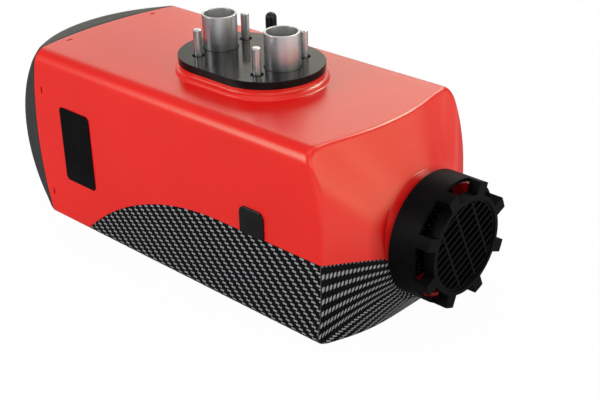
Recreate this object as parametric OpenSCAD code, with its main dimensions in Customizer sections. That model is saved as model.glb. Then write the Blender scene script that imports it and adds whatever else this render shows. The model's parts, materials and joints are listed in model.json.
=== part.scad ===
// Diesel air heater. A moulded casing stands on its underside with the
// mounting flange and its two pipes on top. Inside, one shaft turns the air
// fan at the intake end and the combustion air wheel in the blower housing,
// and the burner fires into a finned heat exchanger behind the outlet hood.
// The length runs along X: the intake is at -X and the outlet at +X.

/* [Casing] */
// Width of the casing
body_w = 145; // [141:1:152]
// Height of the casing without its flange
body_h = 135.6; // [134:0.2:142]
// Wall thickness of the mouldings
wall = 2.4; // [2:0.1:2.8]
// Rounding of the upper long edges
top_round = 10.5; // [8:0.5:14]
// Rounding of the lower long edges
foot_round = 7; // [6:0.5:11]
// Gap between neighbouring mouldings
seam_gap = 0.3; // [0.2:0.05:0.4]
// Drop of the fan and burner axis below mid-height
axis_drop = 1.2; // [0:0.2:1.8]

/* [Outlet end] */
// Distance from the heat exchanger's end to the front of the hood
outlet_space = 76.5; // [76:0.5:80]
// Length of the tapered end, from its side edge to the collar
taper_l = 22.5; // [20:0.5:25]
// Drop of the middle of the tapered end below the axis
taper_drop = 7.6; // [4:0.2:8.6]
// Radius of the hollow curve of the tapered end
taper_curve_r = 225; // [190:5:300]
// Diameter of the collar behind the outlet hood
collar_d = 85.4; // [85:0.2:90]
// Length of the collar
collar_l = 4.5; // [4:0.5:7]
// Length of the outlet spigot beyond the collar
spigot_l = 21; // [20.5:0.1:21.5]

/* [Outlet hood] */
// Outer diameter of the hood
hood_d = 83; // [82:0.5:84.5]
// Length of the hood
hood_l = 29; // [28:0.5:30]
// Length of the closed skirt of the hood
skirt_l = 19.5; // [18:0.5:20]
// Number of teeth round the front of the hood
tooth_count = 8; // [6:1:10]
// Width of one tooth
tooth_w = 8.5; // [6:0.5:10]
// Diameter of the slatted disc
louvre_d = 66.6; // [64:0.2:68]
// Width of one slat
slat_t = 1.6; // [1.2:0.1:2]
// Spacing of the slats
slat_pitch = 3.9; // [3.4:0.1:5]
// Spacing of the bars across the slats
bar_pitch = 15.5; // [12:0.5:20]
// Turn of the slats about the outlet axis
slat_turn = 24; // [0:1:90]

/* [Intake end] */
// Space between the fan's nose and the crown of the cap
intake_space = 23; // [22:0.5:26]
// Length of the intake cap, from its crown to its side edge
cap_l = 40.5; // [38:0.5:44]
// Radius of the domed end of the cap
dome_r = 121; // [116:1:130]
// Radius of the curved seam between cap and casing
seam_curve_r = 266; // [240:1:300]
// Diameter of the round intake opening
intake_d = 80; // [76:0.5:82]
// Length of the lip that the cap pushes into the casing
lip_l = 9; // [7:0.5:11]
// Length of one snap window
window_l = 5; // [4:0.5:7]
// Width of one snap window
window_w = 1.8; // [1.4:0.1:2.4]

/* [Lower cover] */
// Drop of the straight part of the seam below the axis
split_drop = 5.2; // [3:0.2:10]
// Radius of the arc where the seam runs down to the underside
split_arc_r = 219; // [210:1:240]
// Length of the straight part of the seam, up to the tapered end
split_run = 91.7; // [84:0.1:98]
// Height of the tongue that locates the lower cover
tongue_h = 5; // [4:0.5:7]

/* [Flange] */
// Length of the flange plate
flange_l = 112; // [110:1:118]
// Width of the flange plate
flange_w = 80; // [78:1:86]
// Thickness of the flange plate
plate_t = 5.4; // [4:0.2:7]
// Height of the moulded boss under the flange plate
boss_h = 6.6; // [5:0.2:8]
// Diameter of the two pipes
pipe_d = 24.6; // [23:0.2:25]
// Wall thickness of the two pipes
pipe_wall = 1.6; // [1.2:0.1:2]
// Height of the pipes above the flange plate
pipe_h = 24.5; // [20:0.5:30]
// Distance between the two pipes
pipe_pitch = 60.7; // [60:0.1:62]
// Diameter of the studs
stud_d = 6; // [5:0.5:6]
// Height of the studs above the flange plate
stud_h = 19; // [15:0.5:24]
// Distance between the studs along X
stud_pitch_x = 57.2; // [56:0.1:58]
// Distance between the studs along Y
stud_pitch_y = 45.4; // [44:0.1:47]
// Distance of the fuel pipe from the flange's middle along X
fuel_out = 2.5; // [0.5:0.5:4.5]
// Place of the fuel pipe along Y
fuel_y = 18; // [17:0.5:19]
// Diameter of the fuel pipe
fuel_d = 4; // [3.5:0.1:4.5]
// Height of the fuel pipe above the flange plate
fuel_h = 23; // [18:0.5:26]
// Diameter of the rubber cap on the fuel pipe
fuel_cap_d = 8; // [7:0.1:9]
// Length of the rubber cap
fuel_cap_l = 19; // [16:0.5:20]

/* [Trim on the sides] */
// Length of the blank rating plate
label_l = 34.4; // [28:0.2:36]
// Height of the blank rating plate
label_h = 59; // [50:1:62]
// Thickness of the blank rating plate
label_t = 0.6; // [0.4:0.1:1]
// Distance from the cap's side edge to the middle of the rating plate
label_out = 49.7; // [46:0.1:54]
// Length of the harness opening in the side wall
port_l = 22; // [18:0.5:24]
// Height of the harness opening above the seam
port_h = 20; // [17:0.5:22]
// Distance from the tapered end to the middle of the harness opening
port_in = 60; // [54:0.5:64]
// Bore of the harness grommet
cable_d = 9; // [7:0.5:11]

/* [Heat exchanger] */
// Distance from the flange's middle to the burner end
exchanger_tail = 72.5; // [72:0.5:76]
// Distance from the flange's middle to the outlet end
exchanger_nose = 110; // [100:1:114]
// Outer radius of the exchanger's core
core_r = 37; // [36:0.5:38]
// Wall thickness of the core
core_wall = 3.5; // [3:0.1:4]
// Gap between the fins and the roof of the casing
fin_roof_gap = 12.4; // [11:0.2:18]
// Gap between the fins and the plug of the harness opening
fin_side_gap = 10.1; // [9:0.1:15]
// Number of fins
fin_count = 28; // [20:1:36]
// Thickness of one fin
fin_t = 2.2; // [1.6:0.1:3]
// Outer radius of the burner's flame tube
tube_r = 26; // [24:0.5:27]
// Wall thickness of the flame tube
tube_wall = 1.2; // [0.8:0.1:1.6]

/* [Blower and fan] */
// Diameter of the air fan
fan_d = 86; // [82:0.5:87]
// Number of fan blades
blade_count = 9; // [5:1:11]
// Gap between the fan and its shroud
tip_gap = 1.2; // [0.8:0.1:1.6]
// Length of the motor
motor_l = 46; // [42:1:48]
// Diameter of the motor
motor_d = 44; // [40:1:46]
// Diameter of the motor shaft
shaft_d = 5; // [4:0.5:6]
// Outer radius of the blower housing
blower_r = 43; // [42:0.5:44]
// Length of the blower housing
blower_l = 18; // [17:0.5:20]
// Number of vanes on the combustion air wheel
vane_count = 24; // [16:1:30]

/* [Hidden] */
$fn = 96;

// Overrun of every cut past the face that it opens
over = 1;
// Clearance of pieces that push together
push_gap = 0.2;
// Clearance of pieces that turn or lift off
turn_gap = 0.35;
// Clearance of the shaft in its bearings
shaft_gap = 0.02;

// Lengths of the smaller pieces along the axis
head_t = 6;
gasket_t = 1;
plate_l = 8;
fan_clear = 5;
fan_l = 24;

// The casing is as long as the pieces that it holds in a row
train_l = head_t + gasket_t + plate_l + blower_l + motor_l + fan_clear + fan_l;
intake_reach = exchanger_tail + train_l + intake_space;
outlet_reach = exchanger_nose + outlet_space;
overall_l = intake_reach + outlet_reach;
crown_x = -overall_l / 2;
hood_front = overall_l / 2;
flange_x = crown_x + intake_reach;
axis_h = body_h / 2 - axis_drop;
taper_h = axis_h - taper_drop;

// Ends of the mouldings along X
hood_back = hood_front - hood_l;
collar_front = hood_back - seam_gap * 2;
collar_back = collar_front - collar_l;
collar_root = collar_back - taper_l / 2;
collar_step = 1;
taper_front = collar_front - collar_step;
side_edge_x = collar_back - taper_l;
dome_cx = crown_x + dome_r;
cap_edge_x = crown_x + cap_l;
half_w = body_w / 2;
far_r = body_w;
seam_crown_x = cap_edge_x - seam_curve_r + sqrt(pow(seam_curve_r, 2) - pow(half_w, 2));
seam_cx = seam_crown_x + seam_curve_r;

// Centre of the hollow curve through the side edge and the collar
collar_r = collar_d / 2;
chord_r = half_w - collar_r;
chord = sqrt(pow(chord_r, 2) + pow(taper_l, 2));
chord_h = sqrt(pow(taper_curve_r, 2) - pow(chord / 2, 2));
curve_cr = (half_w + collar_r) / 2 + chord_h * taper_l / chord;
curve_cx = (side_edge_x + collar_back) / 2 + chord_h * chord_r / chord;

// Outlet spigot and the snap bead that holds the hood
hood_r = hood_d / 2;
hood_bore = hood_r - wall;
spigot_r = hood_bore - turn_gap;
spigot_front = collar_front + spigot_l;
bead_h = 0.7;
bead_w = 1.6;
bead_x = hood_back + skirt_l / 4;
skirt_front = hood_back + skirt_l;
hood_seat = spigot_front + 2 * turn_gap;
louvre_r = louvre_d / 2;
louvre_t = 4;
louvre_rim = 2.8;

// Intake end
intake_r = intake_d / 2;
lip_t = 1.6;
grille_t = 2.2;
ledge_w = 2.2;
grille_hub = 7;
grille_rings = 4;
grille_bar = 2;
spoke_count = 6;
spoke_w = 2.4;
window_off = 12;
window_x = cap_edge_x + window_off;
window_top_x = window_x - window_w * 3 / 2;
nib_depth = 1;
lip_end = window_x + window_w;
lip_start = cap_edge_x - lip_l;
window_y_share = 0.56;
window_low_share = 0.16;
window_high_share = 0.78;

// Lower cover
split_h = axis_h - split_drop;
split_arc_x = side_edge_x - split_run;
split_arc_z = split_h - split_arc_r;
tongue_t = 1.4;

// Flange, boss, studs and pipes
boss_top = body_h + boss_h;
plate_top = boss_top + plate_t;
flange_r = flange_w / 2;
flange_run = flange_l - flange_w;
boss_inset = 1.2;
rim_out = 3.5;
rim_h = 2.4;
throat_inset = 7.5;
stud_root = 22;
stud_tip = 1;
stud_well = 1.4;
stud_step = 0.3;
pipe_r = pipe_d / 2;
pipe_root = 19;
pipe_rim = 0.5;
pipe_step = 0.3;
fuel_x = flange_x + fuel_out;
air_x = flange_x - pipe_pitch / 2;
exhaust_x = flange_x + pipe_pitch / 2;
fuel_top = plate_top + fuel_h;
fuel_bore = fuel_d / 4;
fuel_rise = 44;
fuel_line_z = axis_h + fuel_rise;

// Burner and heat exchanger
burner_x = flange_x - exchanger_tail;
exchanger_end = flange_x + exchanger_nose;
hollow_r = core_r - core_wall;
end_flange_t = 7;
fin_lead = 26;
fin_tail = 6;
fin_start = burner_x + fin_lead;
fin_end = exchanger_end - fin_tail;
fin_root = 1;
port_depth = 7;
fin_half_h = body_h / 2 - wall - fin_roof_gap;
fin_half_w = half_w - wall - port_depth - fin_side_gap;
fin_square_round = 14;
duct_rise = 44.4;
duct_z = axis_h + duct_rise;
duct_r = 4.5;
duct_wall = 3.5;
lug_r = 5;
lug_ring = 44;
lug_count = 4;
screw_d = 4;
screw_head_share = 0.85;
tube_space = 18;
tube_end = exchanger_end - tube_space;
tube_flange_t = 1.5;
choke_in = 54;
choke_x = burner_x + choke_in;
choke_r = 16;
cup_r = 16;
cup_wall = 2.4;
cup_l = 10;
swirl_count = 8;
swirl_d = 4;
swirl_ring = 20.5;
pin_in = 15;
pin_x = burner_x + pin_in;
pin_d = 5.5;
pin_tip_r = 19;
pin_l = 36;
pin_head_d = 8;
pin_head_l = 7;
pin_boss_r = 7;
pin_boss_out = 9;
seal_t = 2.4;
sensor_in = 28;
sensor_x = exchanger_end - sensor_in;
sensor_pad = [16, 14];
sensor_pad_rise = 10;
sensor_pad_top = axis_h + core_r + sensor_pad_rise;
sensor_size = [14, 10, 6];
clip_t = 0.8;
clip_w = 6;

// Blower, motor and fan
blower_front = burner_x - head_t - gasket_t;
blower_plate_x = blower_front - plate_l;
blower_back = blower_plate_x - blower_l;
blower_wall = 5;
cavity_r = blower_r - blower_wall;
cavity_l = 12;
wheel_gap = 1;
wheel_r = cavity_r - wheel_gap * 1.5;
wheel_disc_t = 3;
wheel_l = cavity_l - 2 * wheel_gap;
wheel_inner_share = 0.72;
wheel_inner = wheel_r * wheel_inner_share;
wheel_hub_r = 8;
vane_t = 1.4;
feed_turn = 60;
channel_depth = 5;
motor_r = motor_d / 2;
can_wall = 1.5;
motor_back = blower_back - motor_l;
shaft_r = shaft_d / 2;
bearing_r = 8;
bearing_l = 5;
magnet_t = 4;
armature_gap = 0.8;
armature_l = 22;
armature_lead = 12;
armature_x = blower_back - armature_lead - armature_l;
armature_slots = 8;
armature_slot_w = 2.4;
commutator_r = 6;
commutator_l = 5;
brush_w = 4;
brush_out = motor_r - 2 * can_wall - 2 * push_gap;
fan_r = fan_d / 2;
fan_back = motor_back - fan_clear;
fan_front = fan_back - fan_l;
fan_hub_r = 17;
fan_nose_share = 0.55;
blade_root_share = 0.75;
blade_t = 1.8;
blade_chord = 25;
blade_camber_r = 34;
blade_pitch_turn = 52;
magnet_disc_r = 7;
magnet_disc_t = 2.5;
shroud_r = fan_r + tip_gap;
shroud_wall = 2;

// Control unit and its arms
unit_clear = 4;
unit_l = motor_l - 2 * unit_clear;
unit_w = 84;
unit_roof_gap = 5.6;
unit_x = blower_back - unit_clear - unit_l;
unit_rise = 7;
unit_z = axis_h + motor_r + unit_rise;
unit_h = body_h - wall - unit_roof_gap - unit_z;
unit_round = 3;
unit_rib = 1.2;
unit_rib_pitch = 6;
socket_size = [22, 8, 14];
socket_wall = 1.4;
arm_y = 23;
arm_w = 8;
arm_t = 4;
arm_l = motor_l - 2 * unit_clear;
arm_screw_x = unit_x + unit_l / 4;
unit_screw_d = 3;

// Trim
label_round = 3.5;
label_rise = 2;
label_x = cap_edge_x + label_out;
label_z = axis_h + label_rise;
port_x = side_edge_x - port_in;
port_round = 5;
port_lip = 1.5;
port_proud = 1.4;
cap_bore_gap = 0.3;
cap_plain_l = 2;
cap_flutes = 8;
cap_flute_r = 0.7;

// A drawing across the part, pulled along X from x0 to x1
module along_x(x0, x1) {
    translate([x0, 0, 0]) rotate([90, 0, 90]) linear_extrude(x1 - x0) children();
}

// A side drawing in X and Z, pulled along Y from y0 to y1
module along_y(y0, y1) {
    translate([0, y1, 0]) rotate([90, 0, 0]) linear_extrude(y1 - y0) children();
}

// A profile of radius and X, turned about an axis along X at a height
module about_axis(h = axis_h) {
    translate([0, 0, h]) rotate([0, 90, 0]) rotate_extrude() children();
}

// A ring or disc about the fan and burner axis
module ring(x0, x1, outer_r, inner_r = 0) {
    about_axis() translate([inner_r, x0]) square([outer_r - inner_r, x1 - x0]);
}

// A round bar or bore standing along Z
module post(x, y, z0, z1, r) {
    translate([x, y, z0]) cylinder(h = z1 - z0, r = r);
}

// A round bar or bore lying along X at a height
module bar(x0, x1, y, z, r) {
    translate([x0, y, z]) rotate([0, 90, 0]) cylinder(h = x1 - x0, r = r);
}

// A rectangle with round ends: length of the straight run, end radius
module stadium(run, r) {
    square([run, 2 * r], center = true);
    for (side = [-1, 1]) translate([side * run / 2, 0]) circle(r);
}

// A rectangle with four rounded corners, about its centre
module rounded_plate(l, h, r) {
    square([l, h - 2 * r], center = true);
    square([l - 2 * r, h], center = true);
    for (x = [-1, 1], y = [-1, 1]) translate([x * (l / 2 - r), y * (h / 2 - r)]) circle(r);
}

// Cross-section of the casing, drawn in by an inset
module section(inset) {
    w = half_w - inset;
    rt = top_round - inset;
    rf = foot_round - inset;
    translate([-w, inset + rf]) square([2 * w, body_h - 2 * inset - rf - rt]);
    translate([rt - w, inset + rf]) square([2 * (w - rt), body_h - 2 * inset - rf]);
    translate([rf - w, inset]) square([2 * (w - rf), body_h - 2 * inset - rt]);
    for (side = [-1, 1]) {
        translate([side * (w - rt), body_h - inset - rt]) circle(rt);
        translate([side * (w - rf), inset + rf]) circle(rf);
    }
}

// Radius and X of the space behind the hollow taper, from a plane at x0
module taper_profile(inset, x0) {
    difference() {
        translate([0, x0]) square([far_r, taper_front - inset - x0]);
        translate([curve_cr, curve_cx]) circle(taper_curve_r + inset, $fn = 360);
    }
}

// Right of the curved seam, pushed along X by a shift
module seam_ball(shift) {
    translate([seam_cx + shift, 0, axis_h]) sphere(seam_curve_r, $fn = 200);
}

// The casing's solid form between the seam and the collar
module casing_form(inset) {
    intersection() {
        along_x(seam_crown_x, taper_front) section(inset);
        about_axis(taper_h) taper_profile(inset, seam_crown_x - over);
    }
}

// Side drawing of the lower cover, moved down by a drop
module split_drawing(drop) {
    translate([split_arc_x, -over]) square([far_r * 2, split_h - drop + over]);
    intersection() {
        translate([split_arc_x, split_arc_z]) circle(split_arc_r - drop, $fn = 360);
        translate([split_arc_x - split_arc_r, -over]) square([split_arc_r + over, split_h + over]);
    }
}

module lower_region(drop) {
    along_y(-body_w, body_w) split_drawing(drop);
}

// Outline of the harness opening in the side wall, standing on the seam
module port_drawing(gap) {
    l = port_l - 2 * gap;
    h = port_h - 2 * gap;
    translate([port_x, split_h + gap]) {
        translate([-l / 2, 0]) square([l, h - port_round]);
        translate([port_round - l / 2, 0]) square([l - 2 * port_round, h]);
        for (side = [-1, 1]) translate([side * (l / 2 - port_round), h - port_round]) circle(port_round);
    }
}

// The four lugs that carry the blower screws
module lug_places() {
    for (i = [0:lug_count - 1]) rotate(45 + i * 360 / lug_count) translate([lug_ring, 0]) children();
}

// Round plate with lugs and the ear of the air duct, about the axis
module lugged_disc(r, with_duct) {
    translate([0, axis_h]) {
        circle(r);
        lug_places() circle(lug_r);
    }
    if (with_duct) translate([0, duct_z]) circle(duct_r + duct_wall);
}

// Holes for the blower screws, from x0 to x1
module lug_holes(x0, x1, r) {
    along_x(x0, x1) translate([0, axis_h]) lug_places() circle(r);
}

// The spherical band of the cap's dome, from radius r0 to r1
module dome_band(r0, r1, outer, inner) {
    about_axis() intersection() {
        difference() {
            translate([0, dome_cx]) circle(outer, $fn = 360);
            translate([0, dome_cx]) circle(inner, $fn = 360);
        }
        translate([r0, crown_x - over]) square([r1 - r0, cap_l]);
    }
}

// Places of the snap windows: one pair on every side
module window_boxes(grow, depth_in, depth_out) {
    l = window_l + 2 * grow;
    w = window_w + 2 * grow;
    for (side = [-1, 1]) {
        for (share = [window_low_share, window_high_share])
            translate([window_x - w / 2, side * (half_w - (depth_in - depth_out) / 2), body_h * share])
                translate([0, -(depth_in + depth_out) / 2, -l / 2])
                    cube([w, depth_in + depth_out, l]);
        translate([window_top_x - w / 2, side * half_w * window_y_share - l / 2, body_h - depth_in])
            cube([w, l, depth_in + depth_out]);
    }
}

module main_casing() {
    color("#e82d2d") difference() {
        union() {
            difference() {
                intersection() {
                    casing_form(0);
                    seam_ball(0);
                }
                casing_form(wall);
                lower_region(-seam_gap / 2);
            }
            ring(collar_root, collar_front, collar_r, spigot_r - wall);
            ring(collar_front - wall, spigot_front, spigot_r, spigot_r - wall);
            translate([flange_x, 0, body_h - wall]) linear_extrude(boss_h + wall)
                stadium(flange_run, flange_r - boss_inset);
            translate([flange_x, 0, body_h - wall]) linear_extrude(rim_h + wall)
                stadium(flange_run, flange_r + rim_out);
        }
        translate([flange_x, 0, body_h - wall - over]) linear_extrude(boss_h + wall + 2 * over)
            stadium(flange_run, flange_r - throat_inset);
        ring(collar_root - over, spigot_front + over, spigot_r - wall);
        about_axis() translate([spigot_r - bead_h, bead_x - bead_w]) square([wall, 2 * bead_w]);
        along_y(-body_w, body_w) port_drawing(0);
        window_boxes(0, wall + over, over);
    }
}

module lower_casing() {
    color("#262626") difference() {
        union() {
            intersection() {
                difference() {
                    casing_form(0);
                    casing_form(wall);
                }
                seam_ball(0);
                lower_region(seam_gap / 2);
            }
            intersection() {
                difference() {
                    casing_form(wall - push_gap);
                    casing_form(wall + push_gap + tongue_t);
                }
                seam_ball(lip_l * 2);
                difference() {
                    lower_region(seam_gap);
                    lower_region(tongue_h);
                }
            }
            intersection() {
                difference() {
                    casing_form(wall + push_gap);
                    casing_form(wall + push_gap + tongue_t);
                }
                seam_ball(lip_l * 2);
                difference() {
                    lower_region(-tongue_h);
                    lower_region(tongue_h);
                }
            }
        }
        ring(collar_root - over, hood_front, collar_r + seam_gap);
        along_y(-body_w, body_w) port_drawing(-push_gap);
        along_y(wall + push_gap / 2 - half_w, half_w - wall - push_gap / 2)
            port_drawing(-port_lip - push_gap);
    }
}

module intake_cap() {
    color("#3c3e3e") {
        difference() {
            intersection() {
                along_x(crown_x, window_x) section(0);
                about_axis() translate([0, dome_cx]) intersection() {
                    circle(dome_r, $fn = 360);
                    translate([0, -dome_r]) square([dome_r, dome_r]);
                }
            }
            intersection() {
                along_x(crown_x, window_x + over) section(wall);
                about_axis() translate([0, dome_cx]) intersection() {
                    circle(dome_r - wall, $fn = 360);
                    translate([0, -dome_r]) square([dome_r, dome_r]);
                }
            }
            seam_ball(-seam_gap);
            ring(crown_x - over, cap_edge_x, intake_r);
        }
        dome_band(intake_r - ledge_w, shroud_r + shroud_wall, dome_r - wall, dome_r - 2 * wall);
        difference() {
            ring(crown_x + wall, fan_back, shroud_r + shroud_wall, shroud_r);
            about_axis() translate([0, dome_cx]) difference() {
                translate([0, -dome_r - over]) square([far_r, dome_r]);
                circle(dome_r - wall - push_gap, $fn = 360);
            }
        }
        intersection() {
            along_x(lip_start, lip_end) difference() {
                section(wall + push_gap);
                section(wall + push_gap + lip_t);
            }
            about_axis() translate([0, dome_cx]) intersection() {
                circle(dome_r - wall / 2, $fn = 360);
                translate([0, -dome_r]) square([far_r, 2 * dome_r]);
            }
        }
        window_boxes(-push_gap, wall + push_gap + lip_t / 2, -nib_depth);
    }
}

module intake_grille() {
    color("#2c2e2e") difference() {
        dome_band(0, intake_r - push_gap, dome_r, dome_r - grille_t);
        along_x(crown_x - over, cap_edge_x) translate([0, axis_h]) {
            for (i = [0:grille_rings - 1]) difference() {
                ring_step = (intake_r - ledge_w - grille_hub) / grille_rings;
                circle(grille_hub + (i + 1) * ring_step - grille_bar);
                circle(grille_hub + i * ring_step);
                for (k = [0:spoke_count - 1]) rotate(k * 360 / spoke_count)
                    translate([0, -spoke_w / 2]) square([intake_d, spoke_w]);
            }
        }
    }
}

module stud_places() {
    for (x = [-1, 1], y = [-1, 1])
        translate([flange_x + x * stud_pitch_x / 2, y * stud_pitch_y / 2, 0]) children();
}

module flange_plate() {
    color("#17191b") difference() {
        translate([flange_x, 0, boss_top]) linear_extrude(plate_t) stadium(flange_run, flange_r);
        for (x = [air_x, exhaust_x]) post(x, 0, boss_top - over, plate_top + over, pipe_r + turn_gap);
        stud_places() post(0, 0, boss_top - over, plate_top + over, stud_d / 2 + turn_gap);
        stud_places() post(0, 0, plate_top - stud_well, plate_top + over, stud_d / 2 + stud_well);
        post(fuel_x, fuel_y, boss_top - over, plate_top + over, fuel_cap_d / 2 + turn_gap);
    }
}

module flange_studs() {
    color("#b9bcbe") stud_places() {
        post(0, 0, boss_top - stud_root, plate_top + over, stud_d / 2 - stud_step);
        post(0, 0, plate_top, plate_top + stud_h - stud_tip, stud_d / 2);
        translate([0, 0, plate_top + stud_h - stud_tip])
            cylinder(h = stud_tip, r1 = stud_d / 2, r2 = stud_d / 2 - stud_tip);
    }
}

module flange_pipe(x) {
    difference() {
        union() {
            post(x, 0, boss_top - pipe_root, plate_top + over, pipe_r - pipe_step);
            post(x, 0, plate_top, plate_top + pipe_h, pipe_r);
        }
        post(x, 0, boss_top - pipe_root - over, plate_top + pipe_h + over, pipe_r - pipe_wall);
        translate([x, 0, plate_top + pipe_h - pipe_rim])
            cylinder(h = pipe_rim + over, r1 = pipe_r - pipe_wall,
                r2 = pipe_r - pipe_wall + pipe_rim + over);
    }
}

module combustion_air_pipe() {
    color("#b4b6b8") flange_pipe(air_x);
}

module exhaust_pipe() {
    color("#b4b6b8") flange_pipe(exhaust_x);
}

// Route of the fuel pipe: down through the flange, along to the burner head
module fuel_line(r, top) {
    head_x = burner_x - head_t / 2;
    post(fuel_x, fuel_y, fuel_line_z, top, r);
    translate([fuel_x, fuel_y, fuel_line_z]) sphere(r);
    bar(head_x, fuel_x, fuel_y, fuel_line_z, r);
    translate([head_x, fuel_y, fuel_line_z]) sphere(r);
    post(head_x, fuel_y, axis_h + core_r - pin_head_l, fuel_line_z, r);
}

module fuel_pipe() {
    color("#a9abad") difference() {
        fuel_line(fuel_d / 2, fuel_top);
        fuel_line(fuel_bore, fuel_top + over);
        post(burner_x - head_t / 2, fuel_y, axis_h + core_r - pin_head_l - over, fuel_line_z, fuel_bore);
    }
}

module fuel_pipe_cap() {
    cap_r = fuel_cap_d / 2;
    cap_top = fuel_top + cap_bore_gap + cap_r;
    color("#141414") difference() {
        union() {
            post(fuel_x, fuel_y, cap_top - fuel_cap_l, cap_top - cap_r, cap_r);
            translate([fuel_x, fuel_y, cap_top - cap_r]) intersection() {
                sphere(cap_r);
                cylinder(h = cap_r, r = cap_r);
            }
        }
        post(fuel_x, fuel_y, cap_top - fuel_cap_l - over, fuel_top + cap_bore_gap,
            fuel_d / 2 + cap_bore_gap);
        for (i = [0:cap_flutes - 1]) translate([fuel_x, fuel_y, 0]) rotate(i * 360 / cap_flutes)
            post(cap_r, 0, cap_top - fuel_cap_l + cap_plain_l, cap_top, cap_flute_r);
    }
}

module rating_plate() {
    color("#1b1b1b") along_y(-half_w - label_t, -half_w) translate([label_x, label_z])
        rounded_plate(label_l, label_h, label_round);
}

// Plug of the harness opening on one side of the part
module port_plug(side, bore) {
    face = half_w + port_proud;
    inner = half_w - wall - port_depth;
    difference() {
        union() {
            mirror([0, side < 0 ? 1 : 0, 0]) {
                along_y(inner, face) port_drawing(push_gap);
                along_y(half_w - wall - push_gap - port_lip, half_w - wall - push_gap)
                    intersection() {
                        port_drawing(-port_lip);
                        translate([port_x - port_l, split_h + push_gap])
                            square([2 * port_l, port_h * 2]);
                    }
            }
        }
        if (bore) along_y(inner - over, face + over)
            translate([port_x, split_h + port_h / 2]) circle(cable_d / 2);
    }
}

module harness_plug() {
    color("#161616") port_plug(-1, false);
}

module harness_grommet() {
    color("#161616") port_plug(1, true);
}

// Cross-section of the fins, trimmed to fill the square casing
module fin_section() {
    translate([0, axis_h]) intersection() {
        union() {
            for (i = [0:fin_count - 1]) rotate((i + 1 / 2) * 360 / fin_count)
                translate([core_r - fin_root, -fin_t / 2]) square([far_r, fin_t]);
        }
        rounded_plate(2 * fin_half_w, 2 * fin_half_h, fin_square_round);
    }
}

module heat_exchanger() {
    tower_r = flange_r - throat_inset - push_gap;
    color("#9a9da0") difference() {
        union() {
            ring(burner_x, exchanger_end, core_r);
            difference() {
                along_x(fin_start, fin_end) fin_section();
                translate([sensor_x, 0, sensor_pad_top - clip_w - push_gap]) linear_extrude(fin_half_h)
                    square(sensor_pad + [2, 2] * (clip_t + push_gap), center = true);
            }
            along_x(burner_x, burner_x + end_flange_t) lugged_disc(blower_r, true);
            bar(burner_x, flange_x, 0, duct_z, duct_r + duct_wall);
            translate([flange_x, 0, axis_h + core_r / 2]) linear_extrude(boss_top - axis_h - core_r / 2)
                stadium(flange_run, tower_r);
            translate([pin_x, 0, axis_h]) rotate([-90, 0, 0])
                cylinder(h = core_r + pin_boss_out, r = pin_boss_r);
            translate([sensor_x, 0, axis_h]) linear_extrude(sensor_pad_top - axis_h)
                square(sensor_pad, center = true);
        }
        ring(burner_x - over, exchanger_end - core_wall, hollow_r);
        post(exhaust_x, 0, axis_h + tube_r, boss_top + over, pipe_r - pipe_wall);
        post(air_x, 0, duct_z - duct_r, boss_top + over, pipe_r - pipe_wall);
        for (x = [air_x, exhaust_x])
            post(x, 0, boss_top - pipe_root, boss_top + over, pipe_r - pipe_step);
        bar(burner_x - over, air_x, 0, duct_z, duct_r);
        stud_places() post(0, 0, boss_top - stud_root, boss_top + over, stud_d / 2 - stud_step);
        fuel_line(fuel_d / 2 + push_gap, boss_top + over);
        lug_holes(burner_x - over, burner_x + end_flange_t + over, screw_d / 2);
        translate([pin_x, 0, axis_h]) rotate([-90, 0, 0])
            cylinder(h = core_r + pin_boss_out + over, r = pin_d / 2 + push_gap);
    }
}

module flame_tube() {
    color("#8d8579") difference() {
        union() {
            ring(burner_x, burner_x + tube_flange_t, hollow_r - push_gap, tube_r - tube_wall);
            ring(burner_x, tube_end, tube_r, tube_r - tube_wall);
            ring(choke_x, choke_x + tube_wall, tube_r, choke_r);
        }
        translate([pin_x, 0, axis_h]) rotate([-90, 0, 0])
            cylinder(h = core_r, r = pin_d / 2 + wheel_gap);
    }
}

module burner_head() {
    head_x = burner_x - head_t;
    color("#8f9295") difference() {
        union() {
            along_x(head_x, burner_x) lugged_disc(blower_r, true);
            ring(burner_x - over, burner_x + cup_l, cup_r, cup_r - cup_wall);
        }
        for (i = [0:swirl_count - 1]) along_x(head_x - over, burner_x + over) translate([0, axis_h])
            rotate(i * 360 / swirl_count) translate([swirl_ring, 0]) circle(swirl_d / 2);
        bar(head_x - over, burner_x + over, 0, duct_z, duct_r);
        lug_holes(head_x - over, burner_x + over, screw_d / 2);
        post(head_x + head_t / 2, fuel_y, axis_h + core_r - pin_head_l, fuel_line_z,
            fuel_d / 2 + shaft_gap);
    }
}

module evaporator() {
    color("#6f6a63") ring(burner_x, burner_x + cup_l / 2, cup_r - cup_wall - push_gap);
}

module glow_pin() {
    color("#c9c3b4") translate([pin_x, 0, axis_h]) rotate([-90, 0, 0]) {
        translate([0, 0, pin_tip_r]) cylinder(h = pin_l, r = pin_d / 2);
        translate([0, 0, core_r + pin_boss_out + seal_t]) cylinder(h = pin_head_l, r = pin_head_d / 2);
    }
}

module glow_pin_seal() {
    color("#1c1c1c") translate([pin_x, 0, axis_h]) rotate([-90, 0, 0])
        translate([0, 0, core_r + pin_boss_out]) difference() {
            cylinder(h = seal_t, r = pin_boss_r);
            translate([0, 0, -over]) cylinder(h = seal_t + 2 * over, r = pin_d / 2);
        }
}

module overheat_sensor() {
    color("#20262c") translate([sensor_x, 0, sensor_pad_top]) linear_extrude(sensor_size.z)
        rounded_plate(sensor_size.x, sensor_size.y, clip_t);
}

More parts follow.
